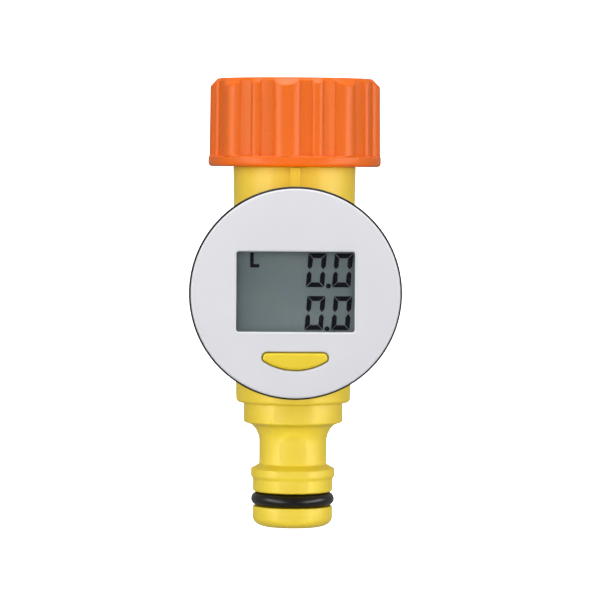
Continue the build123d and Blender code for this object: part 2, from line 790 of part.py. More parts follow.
with BuildPart() as rear_case:
    with BuildSketch(HEAD_SECTION):
        outline(
            (0, CAPSULE_BACK),
            (CAPSULE_R - CAPSULE_EDGE, CAPSULE_BACK),
            (CAPSULE_R, CAPSULE_BACK + CAPSULE_EDGE),
            (CAPSULE_R, RIM_BACK),
            (RIM_R - SMALL_EDGE, RIM_BACK),
            (RIM_R, RIM_BACK + SMALL_EDGE),
            (RIM_R, RIM_FRONT - SMALL_EDGE),
            (RIM_R - SMALL_EDGE, RIM_FRONT),
            (SKIRT_POCKET_R, RIM_FRONT),
            (SKIRT_POCKET_R, GASKET_DEPTH),
            (CAPSULE_INSIDE_R, GASKET_DEPTH),
            (CAPSULE_INSIDE_R, CAPSULE_FLOOR),
            (0, CAPSULE_FLOOR),
        )
    revolve(axis=HEAD_AXIS)
    # screw bosses
    with BuildSketch(head_plane(CAPSULE_FLOOR)):
        with Locations(*POST_PLACES):
            Circle(POST_R)
    extrude(amount=BOARD_BACK - POST_GAP - CAPSULE_FLOOR)
    with BuildSketch(head_plane(CAPSULE_BACK)):
        with Locations(*POST_PLACES):
            Circle(SCREW_HOLE_R)
    extrude(amount=BOARD_BACK - CAPSULE_BACK, mode=Mode.SUBTRACT)
    with BuildSketch(head_plane(CAPSULE_BACK)):
        with Locations(*POST_PLACES):
            Circle(SCREW_RECESS_R)
    extrude(amount=SCREW_SINK + SCREW_HEAD_H + SCREW_RECESS_SLACK, mode=Mode.SUBTRACT)
    # bayonet lugs
    with BuildSketch(head_plane(BAYONET_BACK)):
        for angle in BAYONET_ANGLES:
            sector(
                BAYONET_LUG_R,
                CAPSULE_R - OVERCUT,
                angle - BAYONET_LUG_HALF,
                angle + BAYONET_LUG_HALF,
            )
    extrude(amount=BAYONET_FRONT - BAYONET_BACK)
    # opening for the battery door, with a notch for each of its lugs
    with BuildSketch(cell_plane(CAPSULE_BACK)):
        Circle(DOOR_HOLE_R)
        for angle in BAYONET_ANGLES:
            sector(
                DOOR_NOTCH_R,
                DOOR_HOLE_R - OVERCUT,
                angle + DOOR_TURN - DOOR_NOTCH_HALF,
                angle + DOOR_TURN + DOOR_NOTCH_HALF,
            )
    extrude(amount=CAPSULE_FLOOR - CAPSULE_BACK, mode=Mode.SUBTRACT)
save(rear_case, "rear_case")

with BuildPart() as case_gasket:
    with BuildSketch(HEAD_SECTION):
        outline(
            (CAPSULE_INSIDE_R + GASKET_SLACK, GASKET_DEPTH),
            (SKIRT_POCKET_R - GASKET_SLACK, GASKET_DEPTH),
            (SKIRT_POCKET_R - GASKET_SLACK, SKIRT_END),
            (CAPSULE_INSIDE_R + GASKET_SLACK, SKIRT_END),
        )
    revolve(axis=HEAD_AXIS)
save(case_gasket, "case_gasket")

COVER_CUT = COVER_FRONT - COVER_PLATE_BACK + 2 * OVERCUT

with BuildPart() as front_cover:
    with BuildSketch(HEAD_SECTION):
        outline(
            (0, COVER_FRONT),
            (COVER_R, COVER_FRONT),
            (COVER_R, COVER_PLATE_BACK - COVER_SEAT_GAP),
            (SKIRT_OUTER_R, COVER_PLATE_BACK - COVER_SEAT_GAP),
            (SKIRT_OUTER_R, SKIRT_END),
            (SKIRT_INNER_R, SKIRT_END),
            (SKIRT_INNER_R, COVER_PLATE_BACK),
            (0, COVER_PLATE_BACK),
        )
    revolve(axis=HEAD_AXIS)
    fillet(
        edges()
        .filter_by(GeomType.CIRCLE)
        .filter_by(lambda e: abs(e.radius - COVER_R) < SAME)
        .group_by(Axis.Y)[0],
        COVER_EDGE,
    )
    # screw posts
    with BuildSketch(head_plane(COVER_PLATE_BACK + POST_ROOT)):
        with Locations(*POST_PLACES):
            Circle(POST_R)
    extrude(amount=-(COVER_PLATE_BACK + POST_ROOT - BOARD_BACK))
    with BuildSketch(head_plane(BOARD_BACK)):
        with Locations(*POST_PLACES):
            Circle(SCREW_HOLE_R)
    extrude(amount=SCREW_END + SCREW_TIP_GAP - BOARD_BACK, mode=Mode.SUBTRACT)
    # display window and button opening
    with BuildSketch(head_plane(COVER_PLATE_BACK - OVERCUT)):
        with Locations((0, WINDOW_Y)):
            RectangleRounded(WINDOW_W, WINDOW_H, WINDOW_CORNER)
    extrude(amount=COVER_CUT, mode=Mode.SUBTRACT)
    with BuildSketch(head_plane(COVER_PLATE_BACK - OVERCUT)):
        button_outline(0)
    extrude(amount=COVER_CUT, mode=Mode.SUBTRACT)
save(front_cover, "front_cover")


def framed_sheet(label, depth, thickness, width, height, opening=None):
    """A flat rectangular piece behind the window, open in the middle if a size is given."""
    with BuildPart() as sheet:
        with BuildSketch(head_plane(depth)):
            with Locations((0, WINDOW_Y)):
                Rectangle(width, height)
                if opening:
                    Rectangle(*opening, mode=Mode.SUBTRACT)
        extrude(amount=thickness)
    save(sheet, label)


LENS_THICKNESS = COVER_PLATE_BACK - TAPE_THICKNESS - LENS_BACK
LCD_LAYER_BACK = LCD_FRONT - LCD_GLASS - SEGMENT_THICKNESS
LCD_BACK = LCD_LAYER_BACK - LCD_GLASS

framed_sheet(
    "window_tape",
    COVER_PLATE_BACK - TAPE_THICKNESS,
    TAPE_THICKNESS,
    LENS_W,
    LENS_H,
    (WINDOW_W + TAPE_OVERLAP, WINDOW_H + TAPE_OVERLAP),
)
framed_sheet("display_window", LENS_BACK, LENS_THICKNESS, LENS_W, LENS_H)
framed_sheet("lcd_front_glass", LCD_FRONT - LCD_GLASS, LCD_GLASS, LCD_W, LCD_H)
framed_sheet("lcd_rear_glass", LCD_BACK, LCD_GLASS, LCD_W, LCD_H)
framed_sheet(
    "lcd_reflector",
    LCD_BACK - REFLECTOR_THICKNESS,
    REFLECTOR_THICKNESS,
    LCD_W,
    LCD_H - REFLECTOR_SHORTER,
)
framed_sheet(
    "lcd_frame",
    BOARD_FRONT,
    LENS_BACK - FRAME_TOP_GAP - BOARD_FRONT,
    FRAME_W,
    FRAME_H,
    (LCD_W + SHEET_SLACK, LCD_H + SHEET_SLACK),
)

STRIP_OFFSET = LCD_H / 2 - STRIP_INSET

with BuildPart() as zebra_strips:
    with BuildSketch(head_plane(BOARD_FRONT)):
        with Locations((0, WINDOW_Y + STRIP_OFFSET), (0, WINDOW_Y - STRIP_OFFSET)):
            Rectangle(LCD_W - STRIP_W, STRIP_W)
    extrude(amount=LCD_BACK - BOARD_FRONT)
save(zebra_strips, "zebra_strips")


def segment(points, centre):
    """One segment of a digit, leaned over the digit's centre as the display's figures are."""
    leaned = [(centre[0] + x + y * DIGIT_SLANT, centre[1] + y) for x, y in points]
    outline(*leaned)


def zero(centre):
    """The six lit segments of a nought: mitred at the corners, pointed at the middle."""
    side = DIGIT_W / 2
    top = DIGIT_H / 2
    inner_x = side - DIGIT_STROKE
    inner_y = top - DIGIT_STROKE
    shoulder = MIDDLE_GAP + SEGMENT_POINT
    for up in (1, -1):
        bar = (
            (MITRE_GAP - side, up * top),
            (side - MITRE_GAP, up * top),
            (inner_x - MITRE_GAP, up * inner_y),
            (MITRE_GAP - inner_x, up * inner_y),
        )
        segment(bar, centre)
        for right in (1, -1):
            post = (
                (right * side, up * (top - MITRE_GAP)),
                (right * inner_x, up * (inner_y - MITRE_GAP)),
                (right * inner_x, up * shoulder),
                (right * (side - DIGIT_STROKE / 2), up * MIDDLE_GAP),
                (right * side, up * shoulder),
            )
            segment(post, centre)


with BuildPart() as lcd_segments:
    with BuildSketch(head_plane(LCD_LAYER_BACK)):
        for row_y, digit_xs, point_x in DIGIT_ROWS:
            for digit_x in digit_xs:
                zero((digit_x, row_y))
            with Locations((point_x, row_y - DIGIT_H / 2 + POINT_RISE)):
                Circle(POINT_R)
        outline(
            (UNIT_LEFT, UNIT_BOTTOM),
            (UNIT_LEFT + UNIT_W, UNIT_BOTTOM),
            (UNIT_LEFT + UNIT_W, UNIT_BOTTOM + UNIT_STROKE),
            (UNIT_LEFT + UNIT_STROKE, UNIT_BOTTOM + UNIT_STROKE),
            (UNIT_LEFT + UNIT_STROKE, UNIT_BOTTOM + UNIT_H),
            (UNIT_LEFT, UNIT_BOTTOM + UNIT_H),
        )
    extrude(amount=SEGMENT_THICKNESS)
save(lcd_segments, "lcd_segments")

# ---------------------------------------------------------------- button

with BuildPart() as button_cap:
    with BuildSketch(head_plane(BUTTON_FLANGE_BACK)):
        button_outline(BUTTON_FLANGE)
    extrude(amount=BUTTON_FLANGE_FRONT - BUTTON_FLANGE_BACK)
    with BuildSketch(head_plane(BUTTON_FLANGE_BACK)):
        button_outline(-BUTTON_GAP)
    extrude(amount=BUTTON_FRONT - BUTTON_FLANGE_BACK)
    fillet(faces().sort_by(Axis.Y)[0].edges(), BUTTON_EDGE)
    with BuildSketch(head_plane(BUTTON_FLANGE_BACK)):
        with Locations((0, BUTTON_CENTRE_Y)):
            Circle(PLUNGER_R)
    extrude(amount=-(BUTTON_FLANGE_BACK - PLUNGER_END))
save(button_cap, "button_cap")

with BuildPart() as button_dome:
    with BuildSketch(
        Plane(origin=(0, 0, HEAD_Z + BUTTON_CENTRE_Y), x_dir=(1, 0, 0), z_dir=(0, 0, -1))
    ):
        outline(
            (0, PILL_FRONT),
            (PILL_R + PILL_SLACK, PILL_FRONT),
            (DOME_BASE_R - DOME_WALL, BOARD_FRONT + DOME_CAVITY_H),
            (DOME_BASE_R - DOME_WALL, BOARD_FRONT),
            (DOME_BASE_R, BOARD_FRONT),
            (DOME_BASE_R, BOARD_FRONT + DOME_FOOT_H),
            (PLUNGER_R, PILL_FRONT + DOME_WALL),
            (PLUNGER_R, PLUNGER_END),
            (0, PLUNGER_END),
        )
    revolve(axis=Axis((0, 0, HEAD_Z + BUTTON_CENTRE_Y), (0, -1, 0)))
save(button_dome, "button_dome")

with BuildPart() as contact_pill:
    with BuildSketch(head_plane(PILL_BACK)):
        with Locations((0, BUTTON_CENTRE_Y)):
            Circle(PILL_R)
    extrude(amount=PILL_FRONT - PILL_BACK)
save(contact_pill, "contact_pill")

# ---------------------------------------------------------------- electronics

with BuildPart() as circuit_board:
    with BuildSketch(head_plane(BOARD_BACK)):
        Circle(BOARD_R)
        with Locations(*POST_PLACES):
            Circle(BOARD_NOTCH_R, mode=Mode.SUBTRACT)
    extrude(amount=BOARD_FRONT - BOARD_BACK)
save(circuit_board, "circuit_board")

with BuildPart() as controller_blob:
    with BuildSketch(HEAD_SECTION):
        crown = [(r, BOARD_FRONT + rise) for r, rise in BLOB_PROFILE]
        outline((0, BOARD_FRONT), (BLOB_R, BOARD_FRONT), *crown)
    revolve(axis=HEAD_AXIS)
save(controller_blob, "controller_blob")

with BuildPart() as crystal:
    with BuildSketch(Plane.YZ.offset(-CRYSTAL_LENGTH)):
        with Locations((-BOARD_FRONT - CRYSTAL_RISE, HEAD_Z + PARTS_ROW_Y)):
            Circle(CRYSTAL_R)
    extrude(amount=CRYSTAL_LENGTH)
save(crystal, "crystal")

with BuildPart() as capacitors:
    with BuildSketch(head_plane(BOARD_FRONT)):
        with Locations(*[(x, PARTS_ROW_Y) for x in CAPACITOR_XS]):
            Rectangle(CAPACITOR_W, CAPACITOR_H)
    extrude(amount=CAPACITOR_T)
save(capacitors, "capacitors")

with BuildPart() as reed_switch:
    with BuildSketch(Plane.YZ.offset(-SENSOR_LENGTH / 2)):
        with Locations((-BOARD_BACK + SENSOR_BELOW_BOARD, HEAD_Z + SENSOR_Y)):
            Circle(SENSOR_R)
    extrude(amount=SENSOR_LENGTH)
    fillet(edges().filter_by(GeomType.CIRCLE), SENSOR_EDGE)
save(reed_switch, "reed_switch")

with BuildPart() as reed_leads:
    for side in (-1, 1):
        lead_x = side * (SENSOR_LENGTH / 2 + LEAD_REACH)
        with BuildSketch(Plane.YZ.offset(side * SENSOR_LENGTH / 2)):
            with Locations((-BOARD_BACK + SENSOR_BELOW_BOARD, HEAD_Z + SENSOR_Y)):
                Circle(LEAD_R)
        extrude(amount=side * LEAD_OUT)
        with BuildSketch(head_plane(BOARD_BACK)):
            with Locations((lead_x, SENSOR_Y)):
                Circle(LEAD_R)
        extrude(amount=-SENSOR_BELOW_BOARD)
save(reed_leads, "reed_leads")

with BuildPart() as coin_cell:
    with BuildSketch(CELL_SECTION):
        outline(
            (0, CELL_BACK),
            (CELL_R - CELL_EDGE, CELL_BACK),
            (CELL_R, CELL_BACK + CELL_EDGE),
            (CELL_R, CELL_FRONT - CELL_LIP_H),
            (CELL_R - CELL_LIP_R, CELL_FRONT - CELL_STEP),
            (CELL_R - CELL_CAP_INSET, CELL_FRONT - CELL_STEP),
            (CELL_R - CELL_CAP_INSET - CELL_CAP_SLOPE, CELL_FRONT),
            (0, CELL_FRONT),
        )
    revolve(axis=CELL_AXIS)
save(coin_cell, "coin_cell")

with BuildPart() as battery_holder:
    with BuildSketch(cell_plane(HOLDER_BACK)):
        ring(HOLDER_OUTER_R, HOLDER_INNER_R)
        with Locations((0, HOLDER_INNER_R)):
            Rectangle(CONTACT_W + HOLDER_SLOT_SLACK, HOLDER_SLOT_H, mode=Mode.SUBTRACT)
    extrude(amount=BOARD_BACK - HOLDER_BACK)
save(battery_holder, "battery_holder")

CONTACT_Z = HEAD_Z + CELL_Y + CELL_R + CONTACT_GAP
CONTACT_DEPTH = DOOR_FRONT + CONTACT_DOOR_GAP

with BuildPart() as positive_contact:
    with BuildSketch(Plane.YZ.offset(-CONTACT_W / 2)):
        outline(
            (-BOARD_BACK, CONTACT_Z),
            (-BOARD_BACK, CONTACT_Z + CONTACT_GAUGE),
            (-CONTACT_DEPTH, CONTACT_Z + CONTACT_GAUGE),
            (-CONTACT_DEPTH, CONTACT_Z - CONTACT_REACH),
            (-CONTACT_DEPTH - CONTACT_GAUGE, CONTACT_Z - CONTACT_REACH),
            (-CONTACT_DEPTH - CONTACT_GAUGE, CONTACT_Z),
        )
    extrude(amount=CONTACT_W)
save(positive_contact, "positive_contact")

with BuildPart() as negative_contact:
    with BuildSketch(CELL_SECTION):
        outline(
            (SPRING_FOOT_R, BOARD_BACK),
            (SPRING_SHOULDER_R, BOARD_BACK),
            (SPRING_TIP_R, CELL_FRONT + CONTACT_GAUGE),
            (0, CELL_FRONT + CONTACT_GAUGE),
            (0, CELL_FRONT),
            (SPRING_TIP_R + SPRING_LEAN, CELL_FRONT),
            (SPRING_SHOULDER_R + SPRING_LEAN, BOARD_BACK - CONTACT_GAUGE),
            (SPRING_FOOT_R, BOARD_BACK - CONTACT_GAUGE),
        )
    revolve(axis=CELL_AXIS)
    with BuildSketch(cell_plane(CELL_FRONT - OVERCUT)):
        with PolarLocations(SPRING_CUT_ORBIT, SPRING_CUTS):
            Rectangle(SPRING_CUT_LENGTH, SPRING_CUT_W)
    extrude(amount=BOARD_BACK - CELL_FRONT + 2 * OVERCUT, mode=Mode.SUBTRACT)
save(negative_contact, "negative_contact")

# ---------------------------------------------------------------- battery door and screws

with BuildPart() as battery_door:
    with BuildSketch(CELL_SECTION):
        outline(
            (0, DOOR_BACK),
            (DOOR_R - SMALL_EDGE, DOOR_BACK),
            (DOOR_R, DOOR_BACK + SMALL_EDGE),
            (DOOR_R, DOOR_SEAL_DEPTH - DOOR_GROOVE_HALF),
            (DOOR_GROOVE_R, DOOR_SEAL_DEPTH - DOOR_GROOVE_HALF),
            (DOOR_GROOVE_R, DOOR_SEAL_DEPTH + DOOR_GROOVE_HALF),
            (DOOR_R, DOOR_SEAL_DEPTH + DOOR_GROOVE_HALF),
            (DOOR_R, DOOR_FRONT),
            (0, DOOR_FRONT),
        )
    revolve(axis=CELL_AXIS)
    with BuildSketch(cell_plane(DOOR_LUG_BACK)):
        for angle in BAYONET_ANGLES:
            sector(DOOR_LUG_R, DOOR_R - OVERCUT, angle - DOOR_LUG_HALF, angle + DOOR_LUG_HALF)
    extrude(amount=DOOR_FRONT - DOOR_LUG_BACK)
    with BuildSketch(cell_plane(DOOR_BACK)):
        SlotOverall(COIN_SLOT_W, COIN_SLOT_H)
    extrude(amount=COIN_SLOT_DEPTH, mode=Mode.SUBTRACT)
save(battery_door, "battery_door")

with BuildPart() as door_seal:
    with BuildSketch(CELL_SECTION):
        with Locations((DOOR_GROOVE_R + DOOR_SEAL_R + O_RING_SLACK, DOOR_SEAL_DEPTH)):
            Circle(DOOR_SEAL_R)
    revolve(axis=CELL_AXIS)
save(door_seal, "door_seal")

SCREW_BACK = CAPSULE_BACK + SCREW_SINK

with BuildPart() as case_screws:
    with BuildSketch(head_plane(SCREW_BACK)):
        with Locations(*POST_PLACES):
            Circle(SCREW_HEAD_R)
    extrude(amount=SCREW_HEAD_H)
    with BuildSketch(head_plane(SCREW_BACK + SCREW_HEAD_H)):
        with Locations(*POST_PLACES):
            Circle(SCREW_R)
    extrude(amount=SCREW_END - SCREW_BACK - SCREW_HEAD_H)
    with BuildSketch(head_plane(SCREW_BACK)):
        with Locations(*POST_PLACES):
            Rectangle(CROSS_LENGTH, CROSS_WIDTH)
            Rectangle(CROSS_WIDTH, CROSS_LENGTH)
    extrude(amount=CROSS_DEPTH, mode=Mode.SUBTRACT)
save(case_screws, "case_screws")
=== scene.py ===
"""Visual model of an in-line garden water meter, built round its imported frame.

The water runs down the Z axis from the tap nut to the quick-connect outlet. The round
display head faces -Y. Sizes in the classes are millimetres, and every mesh is in metres.
"""

import json
import logging
import math
from collections.abc import Callable, Iterator, Sequence
from contextlib import contextmanager
from dataclasses import dataclass, field
from enum import Enum

import bpy
from mathutils import Matrix, Quaternion, Vector

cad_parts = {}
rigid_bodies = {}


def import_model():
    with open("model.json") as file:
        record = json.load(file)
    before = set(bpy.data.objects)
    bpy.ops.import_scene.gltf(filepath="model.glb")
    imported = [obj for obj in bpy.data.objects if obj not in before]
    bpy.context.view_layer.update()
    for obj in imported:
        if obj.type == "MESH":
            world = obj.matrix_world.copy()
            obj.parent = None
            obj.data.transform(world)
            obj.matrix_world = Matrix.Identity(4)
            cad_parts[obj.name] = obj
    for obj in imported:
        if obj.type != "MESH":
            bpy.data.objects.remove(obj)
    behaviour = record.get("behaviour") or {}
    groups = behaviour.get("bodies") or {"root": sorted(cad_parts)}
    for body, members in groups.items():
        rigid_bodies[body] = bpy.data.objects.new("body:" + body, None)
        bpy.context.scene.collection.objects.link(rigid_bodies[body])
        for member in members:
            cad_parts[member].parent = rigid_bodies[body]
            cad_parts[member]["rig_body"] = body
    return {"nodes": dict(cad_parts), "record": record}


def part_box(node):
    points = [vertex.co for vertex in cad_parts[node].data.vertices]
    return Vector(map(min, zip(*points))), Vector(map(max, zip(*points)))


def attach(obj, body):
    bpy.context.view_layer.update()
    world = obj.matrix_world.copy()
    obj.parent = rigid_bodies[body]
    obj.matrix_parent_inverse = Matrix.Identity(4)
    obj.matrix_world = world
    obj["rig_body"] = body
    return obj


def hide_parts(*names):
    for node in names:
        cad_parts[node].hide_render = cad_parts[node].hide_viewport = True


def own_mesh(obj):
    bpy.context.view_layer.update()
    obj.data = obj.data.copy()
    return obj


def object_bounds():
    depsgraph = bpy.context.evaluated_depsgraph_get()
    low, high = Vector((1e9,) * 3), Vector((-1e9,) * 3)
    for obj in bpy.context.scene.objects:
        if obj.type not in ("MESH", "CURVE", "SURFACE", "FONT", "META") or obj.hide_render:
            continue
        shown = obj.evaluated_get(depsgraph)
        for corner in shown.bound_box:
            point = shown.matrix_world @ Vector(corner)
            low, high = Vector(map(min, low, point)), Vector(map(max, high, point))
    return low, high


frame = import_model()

CAD_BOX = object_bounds()
MM = 0.001
FULL_TURN = 2 * math.pi
WELD = 0.000002
ARC_STEPS = 5
TURN_STEPS = 128
SMOOTH_ANGLE = math.radians(32)
SOFT_ANGLE = math.radians(22)
LOG = logging.getLogger("water_meter")


class Body(Enum):
    """The bodies that the pieces made here ride on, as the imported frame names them."""

    METER = "meter_body"
    NUT = "nut"
    HEAD = "head"
    BUTTON = "button"


class Join(Enum):
    """How one closed mesh changes another."""

    UNITE = "UNION"
    CUT = "DIFFERENCE"


# ---------------------------------------------------------------- modelling by hand


def take(piece: bpy.types.Object) -> None:
    """Select one piece alone and make it active.

    Args:
        piece: The object to work on next.
    """
    if bpy.context.mode != "OBJECT":
        bpy.ops.object.mode_set(mode="OBJECT")
    bpy.ops.object.select_all(action="DESELECT")
    piece.select_set(True)
    bpy.context.view_layer.objects.active = piece


@contextmanager
def editing(piece: bpy.types.Object) -> Iterator[None]:
    """Open a piece in edit mode with everything selected, and close it afterwards.

    Args:
        piece: The mesh object to edit.
    """
    take(piece)
    bpy.context.tool_settings.mesh_select_mode = (True, False, False)
    bpy.ops.object.mode_set(mode="EDIT")
    bpy.ops.mesh.select_all(action="SELECT")
    yield
    bpy.ops.object.mode_set(mode="OBJECT")


def started(name: str) -> bpy.types.Object:
    """Name the primitive that was just added and put its place into its mesh.

    Args:
        name: The piece's name.

    Returns:
        The new object, at the origin, unturned and unscaled.
    """
    piece = bpy.context.active_object
    piece.name = name
    take(piece)
    bpy.ops.object.transform_apply(location=True, rotation=True, scale=True)
    return piece


def inside_out(piece: bpy.types.Object) -> bool:
    """Whether a closed mesh's faces point inwards, so that its volume is negative."""
    mesh = piece.data
    mesh.calc_loop_triangles()
    volume = 0.0
    for triangle in mesh.loop_triangles:
        a, b, c = (mesh.vertices[i].co for i in triangle.vertices)
        volume += a.dot(b.cross(c))
    return volume < 0


def put_right(piece: bpy.types.Object) -> None:
    """Merge a mesh's doubles and turn its faces outwards.

    Args:
        piece: A closed mesh.
    """
    with editing(piece):
        bpy.ops.mesh.remove_doubles(threshold=WELD)
        bpy.ops.mesh.normals_make_consistent(inside=False)
    if inside_out(piece):
        with editing(piece):
            bpy.ops.mesh.flip_normals()


def traced(name: str, points: Sequence[Vector]) -> bpy.types.Object:
    """Draw a line of edges by extruding one vertex from point to point.

    Args:
        name: The piece's name.
        points: The line's points, in metres.

    Returns:
        A mesh of edges only.
    """
    bpy.ops.object.select_all(action="DESELECT")
    bpy.ops.mesh.primitive_plane_add(size=MM, location=points[0])
    piece = started(name)
    with editing(piece):
        bpy.ops.mesh.merge(type="CENTER")
        for start, end in zip(points, points[1:]):
            bpy.ops.mesh.extrude_region_move(TRANSFORM_OT_translate={"value": end - start})
    return piece


def prism(name: str, outline: Sequence[Vector], reach: Vector) -> bpy.types.Object:
    """Fill an outline and extrude it into a closed solid.

    Args:
        name: The piece's name.
        outline: Points of the flat outline, in metres.
        reach: How far and which way it is extruded.

    Returns:
        The closed solid.
    """
    piece = traced(name, [*outline, outline[0]])
    with editing(piece):
        bpy.ops.mesh.remove_doubles(threshold=WELD)
        bpy.ops.mesh.edge_face_add()
        bpy.ops.mesh.extrude_region_move(TRANSFORM_OT_translate={"value": reach})
    put_right(piece)
    return piece


def lofted(name: str, rings: Sequence[Sequence[Vector]]) -> bpy.types.Object:
    """Fill the first outline, and extrude it from ring to ring into a closed solid.

    Args:
        name: The piece's name.
        rings: Outlines with the same number of points in the same order, in metres.

    Returns:
        The closed solid.
    """
    piece = traced(name, [*rings[0], rings[0][0]])
    with editing(piece):
        bpy.ops.mesh.remove_doubles(threshold=WELD)
        bpy.ops.mesh.edge_face_add()
    for below, above in zip(rings, rings[1:]):
        lift = (above[0] - below[0]) / 2
        bpy.ops.object.mode_set(mode="EDIT")
        bpy.ops.mesh.extrude_region_move(TRANSFORM_OT_translate={"value": lift})
        bpy.ops.object.mode_set(mode="OBJECT")
        for vertex in piece.data.vertices:
            if vertex.select:
                start = vertex.co - lift
                nearest = min(range(len(below)), key=lambda i: (below[i] - start).length)
                vertex.co = above[nearest]
    put_right(piece)
    return piece


@dataclass(frozen=True)
class Corner:
    """A corner of a profile in millimetres, with the radius that rounds it."""

    out: float
    along: float
    round: float = 0.0

    @property
    def place(self) -> Vector:
        """The corner as a flat point."""
        return Vector((self.out, self.along))


def rounded(corners: Sequence[Corner], closed: bool = True) -> list[Vector]:
    """Replace each corner that has a radius by a short arc.

    Args:
        corners: The profile's corners in order.
        closed: Whether the last corner joins the first.

    Returns:
        Flat points of the rounded profile, in millimetres.
    """
    points = []
    last = len(corners) - 1
    for i, corner in enumerate(corners):
        here = corner.place
        if not corner.round or (not closed and i in (0, last)):
            points.append(here)
            continue
        back = (corners[i - 1].place - here).normalized()
        on = (corners[(i + 1) % len(corners)].place - here).normalized()
        opening = back.angle(on)
        centre = here + (back + on).normalized() * corner.round / math.sin(opening / 2)
        reach = corner.round / math.tan(opening / 2)
        spoke = here + back * reach - centre
        side = 1 if spoke.y * back.x - spoke.x * back.y > 0 else -1
        for step in range(ARC_STEPS + 1):
            turn = side * (math.pi - opening) * step / ARC_STEPS
            points.append(centre + Matrix.Rotation(turn, 2) @ spoke)
    return points


@dataclass(frozen=True)
class Lathe:
    """An axis of the meter that profiles are turned round."""

    centre: Vector
    axis: Vector

    def place(self, out: float, along: float) -> Vector:
        """The point in metres that lies out and along from the axis, in millimetres."""
        return self.centre + Vector((out * MM, 0, 0)) + self.axis * along * MM

    def turned(
        self,
        name: str,
        corners: Sequence[Corner],
        closed: bool = True,
        steps: int = TURN_STEPS,
    ) -> bpy.types.Object:
        """Turn a profile into a closed solid.

        Args:
            name: The piece's name.
            corners: The profile, out from the axis and along it.
            closed: Whether the profile is a closed loop, or runs from axis to axis.
            steps: How many steps the full turn has.

        Returns:
            The closed solid.
        """
        line = [self.place(p.x, p.y) for p in rounded(corners, closed)]
        if closed:
            line.append(line[0])
        piece = traced(name, line)
        with editing(piece):
            bpy.ops.mesh.spin(steps=steps, angle=FULL_TURN, center=self.centre, axis=self.axis)
        put_right(piece)
        return piece


def joined(piece: bpy.types.Object, other: bpy.types.Object, how: Join) -> None:
    """Unite a solid with another, or cut it away, and use the other up.

    Args:
        piece: The solid that is kept.
        other: The solid that is spent.
        how: Whether it is united or cut away.
    """
    take(piece)
    modifier = piece.modifiers.new("joined", "BOOLEAN")
    modifier.object = other
    modifier.operation = how.value
    modifier.solver = "EXACT"
    bpy.ops.object.modifier_apply(modifier=modifier.name)
    bpy.data.objects.remove(other)


def pick_edges(piece: bpy.types.Object, test: Callable[[Vector, Vector], bool]) -> None:
    """Select only the edges of a piece whose two ends pass a test.

    Args:
        piece: The mesh object.
        test: Says yes or no to an edge's two ends.
    """
    take(piece)
    mesh = piece.data
    for part in (mesh.vertices, mesh.edges, mesh.polygons):
        part.foreach_set("select", [False] * len(part))
    for edge in mesh.edges:
        first, second = (mesh.vertices[i] for i in edge.vertices)
        if test(first.co, second.co):
            edge.select = first.select = second.select = True


def bevel_picked(width: float, segments: int) -> None:
    """Bevel the edges that were picked on the active piece.

    Args:
        width: The bevel's width in millimetres.
        segments: How many facets round it.
    """
    bpy.context.tool_settings.mesh_select_mode = (False, True, False)
    bpy.ops.object.mode_set(mode="EDIT")
    bpy.ops.mesh.bevel(offset=width * MM, segments=segments, profile=0.5, affect="EDGES")
    bpy.ops.object.mode_set(mode="OBJECT")


def flattened(piece: bpy.types.Object) -> None:
    """Dissolve the needless edges inside flat faces.

    Args:
        piece: A mesh that a Boolean has cut.
    """
    with editing(piece):
        bpy.ops.mesh.remove_doubles(threshold=WELD)
        bpy.ops.mesh.dissolve_limited(angle_limit=math.radians(0.05))


def smooth(piece: bpy.types.Object, angle: float = SMOOTH_ANGLE) -> None:
    """Shade a piece smooth, apart from its real edges.

    Args:
        piece: A finished mesh.
        angle: The bend from which an edge counts as real, in radians.
    """
    take(piece)
    bpy.ops.object.shade_smooth_by_angle(angle=angle)


def smooth_copy(node: str) -> bpy.types.Object:
    """Copy a CAD node, merge its loose triangles and shade it smooth.

    Args:
        node: The CAD node's name.

    Returns:
        The copy, which is a piece of its own.
    """
    piece = frame["nodes"][node].copy()
    piece.data = frame["nodes"][node].data.copy()
    piece.name = f"{node}_shell"
    piece.parent = None
    for key in list(piece.keys()):
        del piece[key]
    bpy.context.scene.collection.objects.link(piece)
    with editing(piece):
        bpy.ops.mesh.remove_doubles(threshold=WELD)
    smooth(piece, SOFT_ANGLE)
    return piece


# ---------------------------------------------------------------- node groups


